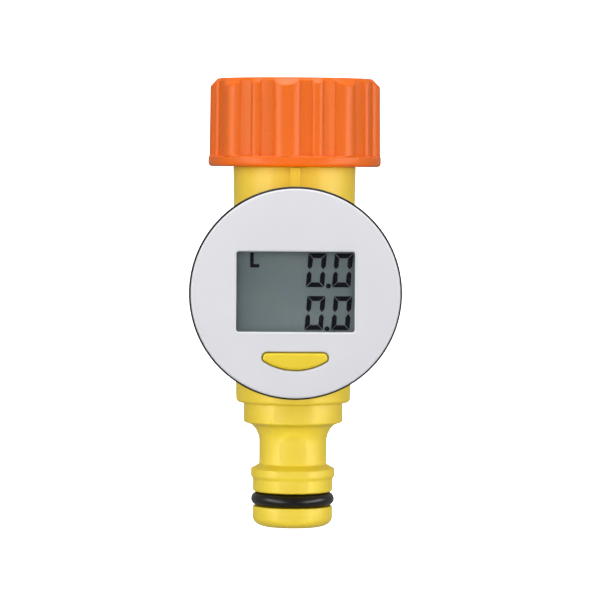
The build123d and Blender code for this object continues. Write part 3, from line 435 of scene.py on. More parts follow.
class Bench:
    """A bench for laying out the nodes of a material or a group."""

    def __init__(self, tree: bpy.types.NodeTree) -> None:
        """Take an empty tree.

        Args:
            tree: The node tree to fill.
        """
        self.tree = tree

    def add(self, kind: str, **settings: object) -> bpy.types.Node:
        """Add a node and set it up.

        Args:
            kind: The node's type, without its ShaderNode prefix.
            settings: Properties of the node, or input values by socket name.

        Returns:
            The node.
        """
        node = self.tree.nodes.new(kind if kind.startswith("Node") else f"ShaderNode{kind}")
        for key, value in settings.items():
            if hasattr(node, key):
                setattr(node, key, value)
            else:
                node.inputs[key.replace("_", " ")].default_value = value
        return node

    def wire(self, source: bpy.types.NodeSocket, target: bpy.types.NodeSocket) -> None:
        """Join an output to an input."""
        self.tree.links.new(source, target)

    def maths(self, operation: str, *values: object) -> bpy.types.NodeSocket:
        """Add a Math node fed by sockets or numbers.

        Args:
            operation: The Math node's operation.
            values: A socket or a number for each input.

        Returns:
            The result.
        """
        node = self.add("Math", operation=operation)
        for slot, value in zip(node.inputs, values):
            if isinstance(value, bpy.types.NodeSocket):
                self.wire(value, slot)
            else:
                slot.default_value = value
        return node.outputs[0]

    def spread(self, source: bpy.types.NodeSocket, low: float, high: float) -> bpy.types.NodeSocket:
        """Stretch a 0 to 1 value between two numbers.

        Args:
            source: The value.
            low: What 0 becomes.
            high: What 1 becomes.

        Returns:
            The stretched value.
        """
        node = self.add("MapRange", To_Min=low, To_Max=high)
        self.wire(source, node.inputs["Value"])
        return node.outputs["Result"]

    def grained(self, effects: "Effects", scale: float = 3600.0, drift: float = 90.0) -> tuple:
        """Lay the shared grain over the object's own coordinates.

        Args:
            effects: The shared surface effects.
            scale: The fine grain's scale.
            drift: The slow drift's scale.

        Returns:
            The coordinate node and the grain node.
        """
        place = self.add("TexCoord")
        grain = self.add("Group", node_tree=effects.grain)
        grain.inputs["Grain Scale"].default_value = scale
        grain.inputs["Drift Scale"].default_value = drift
        self.wire(place.outputs["Object"], grain.inputs["Place"])
        return place, grain

    def bumped(
        self, shader: bpy.types.Node, height: bpy.types.NodeSocket, strength: float, depth: float
    ) -> None:
        """Raise a shader's surface by a height.

        Args:
            shader: The shader.
            height: The height's socket.
            strength: How strong the bump is.
            depth: Its depth in millimetres.
        """
        bump = self.add("Bump", Strength=strength, Distance=depth * MM)
        self.wire(height, bump.inputs["Height"])
        self.wire(bump.outputs["Normal"], shader.inputs["Normal"])

    def blend(self, share: bpy.types.NodeSocket, first: object, second: object) -> bpy.types.NodeSocket:
        """Mix two colours by a value.

        Args:
            share: How much of the second colour there is.
            first: A colour or a socket.
            second: A colour or a socket.

        Returns:
            The mixed colour.
        """
        node = self.add("Mix", data_type="RGBA")
        self.wire(share, node.inputs["Factor"])
        for slot, value in (("A", first), ("B", second)):
            target = next(s for s in node.inputs if s.name == slot and s.type == "RGBA")
            if isinstance(value, bpy.types.NodeSocket):
                self.wire(value, target)
            else:
                target.default_value = (*value, 1)
        return next(s for s in node.outputs if s.type == "RGBA")


def new_group(name: str, inputs: Sequence[tuple], outputs: Sequence[str]) -> tuple:
    """Start a shader node group with named sockets.

    Args:
        name: The group's name.
        inputs: Each input's name, type and default, where it has one.
        outputs: The names of its outputs, which are all values.

    Returns:
        The group, its bench, its input node and its output node.
    """
    group = bpy.data.node_groups.new(name, "ShaderNodeTree")
    for label, kind, *default in inputs:
        socket = group.interface.new_socket(label, in_out="INPUT", socket_type=kind)
        if default:
            socket.default_value = default[0]
    for label in outputs:
        group.interface.new_socket(label, in_out="OUTPUT", socket_type="NodeSocketFloat")
    bench = Bench(group)
    return group, bench, bench.add("NodeGroupInput"), bench.add("NodeGroupOutput")


class Effects:
    """The surface effects that several finishes share, each one built once."""

    def __init__(self) -> None:
        """Build every effect."""
        self.grain = self._grain()
        self.streaks = self._streaks()
        self.radial = self._radial()

    @staticmethod
    def _grain() -> bpy.types.NodeTree:
        """Fine spark-eroded grain, with a slow drift of tone as in a moulding."""
        group, bench, given, made = new_group(
            "moulded_grain",
            [
                ("Place", "NodeSocketVector"),
                ("Grain Scale", "NodeSocketFloat", 3600.0),
                ("Drift Scale", "NodeSocketFloat", 90.0),
            ],
            ["Height", "Speckle", "Drift"],
        )
        fine = bench.add("TexNoise", Detail=2.0, Roughness=0.6)
        coarse = bench.add("TexNoise", Detail=1.0)
        drift = bench.add("TexNoise", Detail=2.0)
        half = bench.maths("MULTIPLY", given.outputs["Grain Scale"], 0.42)
        scales = (given.outputs["Grain Scale"], half, given.outputs["Drift Scale"])
        for node, scale in zip((fine, coarse, drift), scales):
            bench.wire(given.outputs["Place"], node.inputs["Vector"])
            bench.wire(scale, node.inputs["Scale"])
        height = bench.maths("MULTIPLY_ADD", coarse.outputs["Fac"], 0.6, fine.outputs["Fac"])
        bench.wire(height, made.inputs["Height"])
        speckle = bench.add("MapRange", From_Min=0.38, From_Max=0.66)
        bench.wire(fine.outputs["Fac"], speckle.inputs["Value"])
        bench.wire(speckle.outputs["Result"], made.inputs["Speckle"])
        slow = bench.add("MapRange", From_Min=0.3, From_Max=0.7)
        bench.wire(drift.outputs["Fac"], slow.inputs["Value"])
        bench.wire(slow.outputs["Result"], made.inputs["Drift"])
        return group

    @staticmethod
    def _streaks() -> bpy.types.NodeTree:
        """Drawn or brushed streaks on metal, stretched along one direction."""
        group, bench, given, made = new_group(
            "metal_streaks",
            [("Place", "NodeSocketVector"), ("Stretch", "NodeSocketVector")],
            ["Height", "Streak"],
        )
        mapping = bench.add("Mapping")
        bench.wire(given.outputs["Place"], mapping.inputs["Vector"])
        bench.wire(given.outputs["Stretch"], mapping.inputs["Scale"])
        noise = bench.add("TexNoise", Scale=1.0, Detail=3.0)
        bench.wire(mapping.outputs["Vector"], noise.inputs["Vector"])
        bench.wire(noise.outputs["Fac"], made.inputs["Height"])
        bench.wire(noise.outputs["Fac"], made.inputs["Streak"])
        return group

    @staticmethod
    def _radial() -> bpy.types.NodeTree:
        """How far a point is out from the Z axis, from 0 at one radius to 1 at another."""
        group, bench, given, made = new_group(
            "radial_mask",
            [
                ("Place", "NodeSocketVector"),
                ("Inner", "NodeSocketFloat", 0.0),
                ("Outer", "NodeSocketFloat", 1.0),
            ],
            ["Mask"],
        )
        flat = bench.add("VectorMath", operation="MULTIPLY")
        flat.inputs[1].default_value = (1, 1, 0)
        length = bench.add("VectorMath", operation="LENGTH")
        bench.wire(given.outputs["Place"], flat.inputs[0])
        bench.wire(flat.outputs["Vector"], length.inputs[0])
        mask = bench.add("MapRange")
        bench.wire(length.outputs["Value"], mask.inputs["Value"])
        bench.wire(given.outputs["Inner"], mask.inputs["From Min"])
        bench.wire(given.outputs["Outer"], mask.inputs["From Max"])
        bench.wire(mask.outputs["Result"], made.inputs["Mask"])
        return group


# ---------------------------------------------------------------- finishes

Colour = tuple[float, float, float]


def started_material(name: str) -> tuple[bpy.types.Material, Bench, bpy.types.Node]:
    """Start a node material with a Principled shader wired to its output.

    Args:
        name: The material's name.

    Returns:
        The material, its bench and its shader.
    """
    material = bpy.data.materials.new(name)
    material.use_nodes = True
    material.node_tree.nodes.clear()
    bench = Bench(material.node_tree)
    shader = bench.add("BsdfPrincipled")
    output = bench.add("OutputMaterial")
    bench.wire(shader.outputs["BSDF"], output.inputs["Surface"])
    return material, bench, shader


@dataclass(frozen=True)
class Plastic:
    """Injection-moulded plastic: fine grain, slow drift of tone, a satin highlight."""

    colour: Colour
    shade: Colour
    gloss: float = 0.42
    dull: float = 0.52
    grain_scale: float = 3600.0
    grain_depth: float = 0.12
    drift_scale: float = 90.0
    specular: float = 0.5
    glow: float = 0.0

    def made(self, name: str, effects: Effects) -> bpy.types.Material:
        """Build the material.

        Args:
            name: Its name.
            effects: The shared surface effects.

        Returns:
            The material.
        """
        material, bench, shader = started_material(name)
        _, grain = bench.grained(effects, self.grain_scale, self.drift_scale)
        tone = bench.maths("MULTIPLY_ADD", grain.outputs["Speckle"], 0.35, grain.outputs["Drift"])
        share = bench.maths("MULTIPLY", tone, 0.7)
        bench.wire(bench.blend(share, self.colour, self.shade), shader.inputs["Base Color"])
        bench.wire(
            bench.spread(grain.outputs["Speckle"], self.gloss, self.dull),
            shader.inputs["Roughness"],
        )
        bench.bumped(shader, grain.outputs["Height"], self.grain_depth, 0.04)
        shader.inputs["Specular IOR Level"].default_value = self.specular
        if self.glow:
            shader.inputs["Subsurface Weight"].default_value = self.glow
            shader.inputs["Subsurface Radius"].default_value = (1.0, 0.6, 0.2)
            shader.inputs["Subsurface Scale"].default_value = 0.6 * MM
        return material


@dataclass(frozen=True)
class FlutedPlastic:
    """The nut's plastic: polished lobes, with grained and duller floors between them."""

    colour: Colour
    floor: Colour
    shade: Colour
    lobe_roughness: float = 0.42
    floor_roughness: float = 0.48
    specular: float = 0.5
    inner: float = 16.38
    outer: float = 16.55

    def made(self, name: str, effects: Effects) -> bpy.types.Material:
        """Build the material.

        Args:
            name: Its name.
            effects: The shared surface effects.

        Returns:
            The material.
        """
        material, bench, shader = started_material(name)
        place, grain = bench.grained(effects, 3000.0, 110.0)
        mask = bench.add("Group", node_tree=effects.radial)
        mask.inputs["Inner"].default_value = self.inner * MM
        mask.inputs["Outer"].default_value = self.outer * MM
        bench.wire(place.outputs["Object"], mask.inputs["Place"])
        lobe = bench.blend(grain.outputs["Drift"], self.colour, self.shade)
        speckled = bench.blend(grain.outputs["Speckle"], self.floor, self.colour)
        bench.wire(bench.blend(mask.outputs["Mask"], speckled, lobe), shader.inputs["Base Color"])
        floor = bench.spread(grain.outputs["Speckle"], self.floor_roughness - 0.08, self.floor_roughness)
        drop = self.lobe_roughness - self.floor_roughness
        rough = bench.maths("MULTIPLY_ADD", mask.outputs["Mask"], drop, floor)
        bench.wire(rough, shader.inputs["Roughness"])
        depth = bench.spread(mask.outputs["Mask"], 1.0, 0.2)
        height = bench.maths("MULTIPLY", grain.outputs["Height"], depth)
        bench.bumped(shader, height, 0.25, 0.02)
        shader.inputs["Specular IOR Level"].default_value = self.specular
        return material


@dataclass(frozen=True)
class Rubber:
    """Moulded rubber with a soft gloss and faint bloom."""

    colour: Colour
    bloom: Colour
    gloss: float = 0.22
    dull: float = 0.38

    def made(self, name: str, effects: Effects) -> bpy.types.Material:
        """Build the material.

        Args:
            name: Its name.
            effects: The shared surface effects.

        Returns:
            The material.
        """
        material, bench, shader = started_material(name)
        _, grain = bench.grained(effects, 1500.0, 260.0)
        share = bench.maths("MULTIPLY", grain.outputs["Drift"], 0.5)
        bench.wire(bench.blend(share, self.colour, self.bloom), shader.inputs["Base Color"])
        bench.wire(bench.spread(grain.outputs["Drift"], self.gloss, self.dull), shader.inputs["Roughness"])
        bench.bumped(shader, grain.outputs["Height"], 0.06, 0.02)
        return material


@dataclass(frozen=True)
class Metal:
    """Metal with drawn streaks along one direction."""

    colour: Colour
    shade: Colour
    gloss: float = 0.22
    dull: float = 0.4
    stretch: Colour = (4000.0, 4000.0, 300.0)

    def made(self, name: str, effects: Effects) -> bpy.types.Material:
        """Build the material.

        Args:
            name: Its name.
            effects: The shared surface effects.

        Returns:
            The material.
        """
        material, bench, shader = started_material(name)
        place = bench.add("TexCoord")
        streaks = bench.add("Group", node_tree=effects.streaks)
        streaks.inputs["Stretch"].default_value = self.stretch
        bench.wire(place.outputs["Object"], streaks.inputs["Place"])
        share = streaks.outputs["Streak"]
        bench.wire(bench.blend(share, self.colour, self.shade), shader.inputs["Base Color"])
        bench.wire(bench.spread(share, self.gloss, self.dull), shader.inputs["Roughness"])
        shader.inputs["Metallic"].default_value = 1.0
        bench.bumped(shader, streaks.outputs["Height"], 0.1, 0.01)
        return material


@dataclass(frozen=True)
class ClearPane:
    """A clear sheet that light passes through, with very faint ripples."""

    tint: Colour
    ior: float = 1.47
    roughness: float = 0.02

    def made(self, name: str, effects: Effects) -> bpy.types.Material:
        """Build the material.

        Args:
            name: Its name.
            effects: The shared surface effects.

        Returns:
            The material.
        """
        material, bench, shader = started_material(name)
        shader.inputs["Base Color"].default_value = (*self.tint, 1)
        shader.inputs["Transmission Weight"].default_value = 1.0
        shader.inputs["IOR"].default_value = self.ior
        _, grain = bench.grained(effects)
        rough = bench.spread(grain.outputs["Drift"], self.roughness, self.roughness * 2)
        bench.wire(rough, shader.inputs["Roughness"])
        clear = bench.add("BsdfTransparent")
        clear.inputs["Color"].default_value = (*self.tint, 1)
        light = bench.add("LightPath")
        mix = bench.add("MixShader")
        output = next(n for n in material.node_tree.nodes if n.type == "OUTPUT_MATERIAL")
        bench.wire(light.outputs["Is Shadow Ray"], mix.inputs[0])
        bench.wire(shader.outputs["BSDF"], mix.inputs[1])
        bench.wire(clear.outputs["BSDF"], mix.inputs[2])
        bench.wire(mix.outputs["Shader"], output.inputs["Surface"])
        return material


@dataclass(frozen=True)
class DisplayCell:
    """The grey-green liquid crystal cell, with a painted shadow darkening its left and top borders."""

    colour: Colour
    warm: Colour
    # The third colour is a painted shadow; the width below is how far that painted shadow reaches in, in
    # mm.
    painted_shadow: Colour
    left: float
    top: float
    shadow_width: float = 1.6

    def made(self, name: str, effects: Effects) -> bpy.types.Material:
        """Build the material.

        Args:
            name: Its name.
            effects: The shared surface effects.

        Returns:
            The material.
        """
        material, bench, shader = started_material(name)
        place, grain = bench.grained(effects, 2600.0, 160.0)
        axes = bench.add("SeparateXYZ")
        bench.wire(place.outputs["Object"], axes.inputs["Vector"])
        # Painted shadow: the cell darkens towards its left edge, and more weakly towards its top edge,
        # standing in for the shade cast by the window's recess.
        side = bench.add("MapRange", interpolation_type="SMOOTHSTEP")
        side.inputs["From Min"].default_value = (self.left + self.shadow_width) * MM
        side.inputs["From Max"].default_value = self.left * MM
        bench.wire(axes.outputs["X"], side.inputs["Value"])
        head = bench.add("MapRange", interpolation_type="SMOOTHSTEP")
        head.inputs["From Min"].default_value = (self.top - self.shadow_width / 2) * MM
        head.inputs["From Max"].default_value = self.top * MM
        bench.wire(axes.outputs["Z"], head.inputs["Value"])
        upper = bench.maths("MULTIPLY", head.outputs["Result"], 0.55)
        painted_shadow = bench.maths("MAXIMUM", side.outputs["Result"], upper)
        tone = bench.maths("MULTIPLY_ADD", grain.outputs["Speckle"], 0.3, grain.outputs["Drift"])
        face = bench.blend(bench.maths("MULTIPLY", tone, 0.8), self.colour, self.warm)
        # Blend the face towards the painted shadow colour along the left and top borders.
        bench.wire(bench.blend(painted_shadow, face, self.painted_shadow), shader.inputs["Base Color"])
        bench.wire(bench.spread(grain.outputs["Speckle"], 0.3, 0.45), shader.inputs["Roughness"])
        shader.inputs["Specular IOR Level"].default_value = 0.2
        return material


@dataclass(frozen=True)
class SolderMask:
    """A circuit board's green lacquer with the tracks showing through it."""

    colour: Colour
    track: Colour

    def made(self, name: str, effects: Effects) -> bpy.types.Material:
        """Build the material.

        Args:
            name: Its name.
            effects: The shared surface effects.

        Returns:
            The material.
        """
        material, bench, shader = started_material(name)
        place, grain = bench.grained(effects)
        turned = bench.add("Mapping")
        turned.inputs["Rotation"].default_value = (math.pi / 2, 0, 0)
        bench.wire(place.outputs["Object"], turned.inputs["Vector"])
        bricks = bench.add("TexBrick", Scale=420.0, Mortar_Size=0.03, Bias=0.0)
        bench.wire(turned.outputs["Vector"], bricks.inputs["Vector"])
        bench.wire(bench.blend(bricks.outputs["Fac"], self.colour, self.track), shader.inputs["Base Color"])
        bench.wire(bench.spread(grain.outputs["Speckle"], 0.25, 0.35), shader.inputs["Roughness"])
        bench.bumped(shader, bricks.outputs["Fac"], 0.3, 0.03)
        return material


class Palette:
    """Every finish of the meter, by the record's slot names."""

    def __init__(self) -> None:
        """Build one material for each slot."""
        effects = Effects()
        low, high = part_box("lcd_rear_glass")
        finishes = {
            "orange_plastic": FlutedPlastic(
                (0.74, 0.128, 0.0005), (0.68, 0.115, 0.0005), (0.72, 0.12, 0.0005), specular=0.34
            ),
            "yellow_plastic": Plastic(
                (0.885, 0.67, 0.036), (0.83, 0.61, 0.028),
                gloss=0.32, dull=0.56, grain_depth=1.0, specular=0.65
            ),
            "button_yellow": Plastic(
                (0.76, 0.565, 0.018), (0.73, 0.54, 0.014), gloss=0.3, dull=0.36, grain_depth=0.03
            ),
            "white_plastic": Plastic(
                (0.635, 0.635, 0.67), (0.615, 0.615, 0.65), gloss=0.4, dull=0.46, grain_depth=0.03
            ),
            "black_plastic": Plastic(
                (0.006, 0.0055, 0.0055), (0.012, 0.011, 0.01), gloss=0.4, dull=0.55, specular=0.3
            ),
            "white_nylon": Plastic((0.72, 0.72, 0.68), (0.66, 0.66, 0.61), gloss=0.38, dull=0.5, glow=0.1),
            "black_rubber": Rubber(
                (0.0035, 0.0028, 0.0022), (0.007, 0.0055, 0.0045), gloss=0.28, dull=0.36
            ),
            "grey_silicone": Rubber((0.4, 0.42, 0.43), (0.34, 0.36, 0.37), gloss=0.35, dull=0.5),
            "clear_window": ClearPane((0.97, 0.98, 0.98)),
            "lcd_glass": ClearPane((0.96, 0.98, 0.97)),
            # The cell's third colour is a painted shadow along its left and top borders.
            "lcd_back": DisplayCell(
                (0.175, 0.21, 0.238), (0.195, 0.218, 0.226), (0.012, 0.013, 0.0135), low.x / MM, high.z / MM
            ),
            "lcd_dark": Plastic(
                (0.012, 0.009, 0.024), (0.016, 0.012, 0.03), gloss=0.4, dull=0.5, specular=0.1
            ),
            "foil": Metal((0.6, 0.62, 0.62), (0.5, 0.52, 0.52), stretch=(3000.0, 3000.0, 3000.0)),
            "circuit_green": SolderMask((0.015, 0.14, 0.05), (0.03, 0.23, 0.08)),
            "epoxy": Plastic(
                (0.015, 0.015, 0.017), (0.02, 0.02, 0.022), gloss=0.12, dull=0.2, grain_depth=0.03
            ),
            "ceramic": Plastic((0.36, 0.22, 0.11), (0.3, 0.18, 0.09), gloss=0.5, dull=0.65),
            "steel": Metal((0.62, 0.61, 0.58), (0.48, 0.47, 0.45)),
            "nickel": Metal((0.74, 0.72, 0.66), (0.62, 0.6, 0.55), gloss=0.12, dull=0.25),
            "magnet": Metal((0.3, 0.3, 0.31), (0.2, 0.2, 0.21), gloss=0.35, dull=0.55),
            "sensor_glass": ClearPane((0.55, 0.78, 0.6), ior=1.5),
        }
        self.materials = {slot: finish.made(slot, effects) for slot, finish in finishes.items()}

    def dress(self, piece: bpy.types.Object, finish: str) -> None:
        """Give a piece or a CAD node one finish all over.

        Args:
            piece: The object.
            finish: The finish's name.
        """
        if not piece.material_slots:
            piece.data.materials.append(None)
        for slot in piece.material_slots:
            slot.material = self.materials[finish]


@dataclass
class SubAssembly:
    """What every sub-assembly has: the palette and the two axes of the meter."""

    palette: Palette
    tube: Lathe
    head: Lathe

    def add(
        self,
        piece: bpy.types.Object,
        body: Body,
        slot: str,
        *nodes: str,
        finish: str = "",
    ) -> None:
        """Finish a piece: shade it, dress it and say what it stands for.

        Args:
            piece: The mesh.
            body: The body that it moves with.
            slot: The record's material slot.
            nodes: The CAD nodes that it replaces.
            finish: A finish other than the slot's own.
        """
        smooth(piece)
        piece.data.materials.clear()
        self.palette.dress(piece, finish or slot)
        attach(piece, body.value)
        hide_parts(*nodes)
        LOG.info("%s: %d faces, rides on %s", piece.name, len(piece.data.polygons), body.value)


# ---------------------------------------------------------------- tap nut


@dataclass
class TapNut(SubAssembly):
    """The fluted swivel nut with its inside thread."""

    repeats: int = 8
    first_lobe: float = -96.8
    small_shift: float = 22.5
    root_r: float = 16.45
    floor_sink: float = 0.12
    large_crest: float = 17.5
    large_angle: float = 18.6
    small_crest: float = 17.05
    small_angle: float = 8.2
    draft: float = 0.0087
    ring_r: float = 17.6
    ring_top: float = -5.0
    bottom: float = -6.8
    skirt_bottom: float = -7.12
    skirt_r: float = 12.95
    top: float = 10.8
    chamfer_r: float = 15.75
    chamfer_slope: float = 2.6 / 2.75
    crest_round: float = 0.28
    minor_r: float = 12.0585
    major_r: float = 13.22
    pitch: float = 1.814
    thread_from: float = -0.4
    thread_to: float = 9.8
    thread_start: float = -1.307
    thread_rows: int = 58
    groove_reach: float = 0.27
    groove_ease: float = 0.19
    thread_fade: float = 0.5
    mouth_slope: float = 1.46
    relief_r: float = 12.5
    lip_top: float = -4.6
    lip_r: float = 10.4
    flute_rows: int = 4

    def lobe(self, away: float, crest: float, width: float) -> float:
        """Radius of a round lobe at an angle from its middle.

        Args:
            away: Degrees from the lobe's middle.
            crest: The crest's radius.
            width: The lobe's width in degrees.

        Returns:
            The radius, or 0 outside the lobe.
        """
        if abs(away) > width / 2:
            return 0.0
        half = math.radians(width / 2)
        chord = self.root_r * math.sin(half)
        rise = crest - self.root_r * math.cos(half)
        arc_r = (chord**2 + rise**2) / (2 * rise)
        centre = crest - arc_r
        turn = math.radians(away)
        return centre * math.cos(turn) + math.sqrt(arc_r**2 - (centre * math.sin(turn)) ** 2)

    def flute(self, angle: float) -> float:
        """Radius of the grip at an angle, in millimetres.

        Args:
            angle: Degrees round the nut.

        Returns:
            The radius, which drops a small step from each lobe to the floor beside it.
        """
        pitch = 360 / self.repeats
        away = (angle - self.first_lobe + pitch / 2) % pitch - pitch / 2
        small = (angle - self.first_lobe - self.small_shift + pitch / 2) % pitch - pitch / 2
        large_r = self.lobe(away, self.large_crest, self.large_angle)
        small_r = self.lobe(small, self.small_crest, self.small_angle)
        return max(large_r, small_r) or self.root_r - self.floor_sink

    def column_angles(self) -> list[float]:
        """Angles of the columns, close together where a lobe meets its floor.

        Returns:
            Degrees, in rising order, for the whole turn and one more to close it.
        """
        step = 0.12
        marks = []
        for middle, width, across in (
            (0.0, self.large_angle, 18),
            (self.small_shift, self.small_angle, 12),
        ):
            half = width / 2
            marks += [middle - half - step, middle + half + step]
            marks += [middle - half + width * i / across for i in range(across + 1)]
        edges = (self.large_angle / 2 + step, self.small_shift - self.small_angle / 2 - step)
        rest = (
            self.small_shift + self.small_angle / 2 + step,
            360 / self.repeats - self.large_angle / 2 - step,
        )
        for low, high in (edges, rest):
            marks += [low + (high - low) * i / 5 for i in range(1, 5)]
        marks.sort()
        turns = range(self.repeats)
        whole = [self.first_lobe + 360 / self.repeats * turn + mark for turn in turns for mark in marks]
        return [*whole, whole[0] + 360]

    def thread(self, z: float, angle: float) -> float:
        """Radius of the inside thread.

        Args:
            z: Height in millimetres.
            angle: Degrees round the nut.

        Returns:
            The radius in millimetres.
        """
        phase = ((z - self.thread_start) / self.pitch - angle / 360) % 1
        away = min(phase, 1 - phase)
        depth = min(1.0, max(0.0, (self.groove_reach - away) / self.groove_ease))
        fade_top = min(1.0, max(0.0, (self.thread_to + self.thread_fade - z) / self.thread_fade))
        fade_low = min(1.0, max(0.0, (z - self.thread_from) / self.thread_fade))
        eased = depth * depth * (3 - 2 * depth) * fade_top * fade_low
        return self.minor_r + (self.major_r - self.minor_r) * eased

    def section(self, angle: float) -> list[tuple[float, float]]:
        """The nut's closed section at one angle, from the lip round to the lip.

        Args:
            angle: Degrees round the nut.

        Returns:
            Points out from the axis and along it, the same number at every angle.
        """
        ring = rounded(
            [
                Corner(self.lip_r, self.lip_top, 0.15),
                Corner(self.lip_r, self.bottom, 0.25),
                Corner(self.skirt_r, self.bottom),
                Corner(self.skirt_r, self.skirt_bottom, 0.1),
                Corner(self.ring_r, self.skirt_bottom, 0.75),
                Corner(self.ring_r, self.ring_top, 0.3),
                Corner(self.large_crest - 0.15, self.ring_top),
            ],
            closed=False,
        )
        points = [(p.x, p.y) for p in ring[1:-1]]
        grip = self.flute(angle)
        meets = self.top - (grip - self.chamfer_r) * self.chamfer_slope
        base = self.ring_top
        points.append((grip + 0.12, base))
        for row in range(self.flute_rows + 1):
            z = base + 0.12 + (meets - self.crest_round - base - 0.12) * row / self.flute_rows
            points.append((grip - self.draft * (z - base), z))
        grip -= self.draft * (meets - base)
        lean = Vector((-1, self.chamfer_slope)).normalized() * self.crest_round
        for share in (0.25, 0.5, 0.75, 1.0):
            start = Vector((grip, meets - self.crest_round))
            corner = Vector((grip, meets))
            end = corner + lean
            point = start * (1 - share) ** 2 + corner * 2 * share * (1 - share) + end * share**2
            points.append((point.x, point.y))
        points += [
            (self.chamfer_r + 0.2, self.top - 0.2 * self.chamfer_slope),
            (self.chamfer_r + 0.03, self.top - 0.06),
            (self.chamfer_r - 0.15, self.top),
            (self.major_r + 0.5, self.top),
            (self.major_r + 0.32, self.top - 0.08),
            (self.major_r + 0.25, self.top - 0.25),
        ]
        for row in range(self.thread_rows + 1):
            z = self.top - 0.45 - (self.top - 0.45 - self.thread_from) * row / self.thread_rows
            mouth = self.minor_r + max(0.0, z - self.thread_to) * self.mouth_slope
            points.append((max(mouth, self.thread(z, angle)), z))
        points += [
            (self.relief_r, self.thread_from - 0.1),
            (self.relief_r, self.lip_top + 0.2),
            (self.relief_r - 0.2, self.lip_top),
        ]
        return points

    def build(self) -> None:
        """Wrap a grid round the axis, section by section, and close it both ways."""
        angles = self.column_angles()
        sections = [self.section(angle) for angle in angles]
        rows = len(sections[0])
        bpy.ops.object.select_all(action="DESELECT")
        bpy.ops.mesh.primitive_grid_add(x_subdivisions=len(angles) - 1, y_subdivisions=rows, size=1)
        piece = started("tap_nut")
        for i, vertex in enumerate(piece.data.vertices):
            turn = math.radians(angles[i % len(angles)])
            out, along = sections[i % len(angles)][i // len(angles) % rows]
            vertex.co = Vector((out * math.cos(turn), out * math.sin(turn), along)) * MM
        put_right(piece)
        self.add(piece, Body.NUT, "orange_plastic", "inlet_nut")


# ---------------------------------------------------------------- seal and sieve in the nut


@dataclass
class InletSieve(SubAssembly):
    """The washer, the sieve's rim and its wire cone."""

    washer_r: float = 11.8
    washer_hole: float = 8.2
    washer_top: float = -0.6
    seat: float = -2.8
    rim_r: float = 9.2
    rim_inner: float = 7.2
    rim_bottom: float = -3.8
    cone_top_r: float = 7.42
    cone_tip_r: float = 2.92
    cone_bottom: float = -11.9
    wire: float = 0.17
    wires_round: int = 44
    wires_down: int = 13

    def build(self) -> None:
        """Turn the washer and the rim, and make the cone of wire."""
        washer = self.tube.turned(
            "inlet_washer_ring",
            [
                Corner(self.washer_hole, self.washer_top, 0.3),
                Corner(self.washer_r, self.washer_top, 0.3),
                Corner(self.washer_r, self.seat, 0.3),
                Corner(self.washer_hole, self.seat, 0.3),
            ],
        )
        self.add(washer, Body.METER, "black_rubber", "inlet_washer")
        rim = self.tube.turned(
            "sieve_rim",
            [
                Corner(self.rim_inner, self.seat - 0.05, 0.15),
                Corner(self.rim_r, self.seat - 0.05, 0.15),
                Corner(self.rim_r, self.rim_bottom, 0.1),
                Corner(self.rim_inner, self.rim_bottom, 0.1),
            ],
        )
        self.add(rim, Body.METER, "white_nylon", "filter_rim")
        self.add(self.cone(), Body.METER, "steel", "filter_mesh")

    def cone(self) -> bpy.types.Object:
        """The sieve's cone, whose every edge is a wire.

        Returns:
            The finished mesh.
        """
        steps = self.wires_down
        drop = self.cone_bottom - self.rim_bottom
        line = [
            Corner(
                self.cone_top_r + (self.cone_tip_r - self.cone_top_r) * i / steps,
                self.rim_bottom - 0.1 + (drop + 0.1) * i / steps,
            )
            for i in range(steps + 1)
        ]
        line += [Corner(self.cone_tip_r * share, self.cone_bottom) for share in (0.75, 0.5, 0.25, 0)]
        piece = self.tube.turned("sieve_wires", [*reversed(line)], closed=False, steps=self.wires_round)
        take(piece)
        wires = piece.modifiers.new("wires", "WIREFRAME")
        wires.thickness = self.wire * MM
        wires.use_even_offset = False
        bpy.ops.object.modifier_apply(modifier=wires.name)
        with editing(piece):
            bpy.ops.mesh.fill_holes(sides=4)
            bpy.ops.mesh.select_all(action="DESELECT")
            bpy.ops.mesh.select_non_manifold()
            bpy.ops.mesh.bridge_edge_loops()
        put_right(piece)
        return piece


# ---------------------------------------------------------------- body tube and outlet


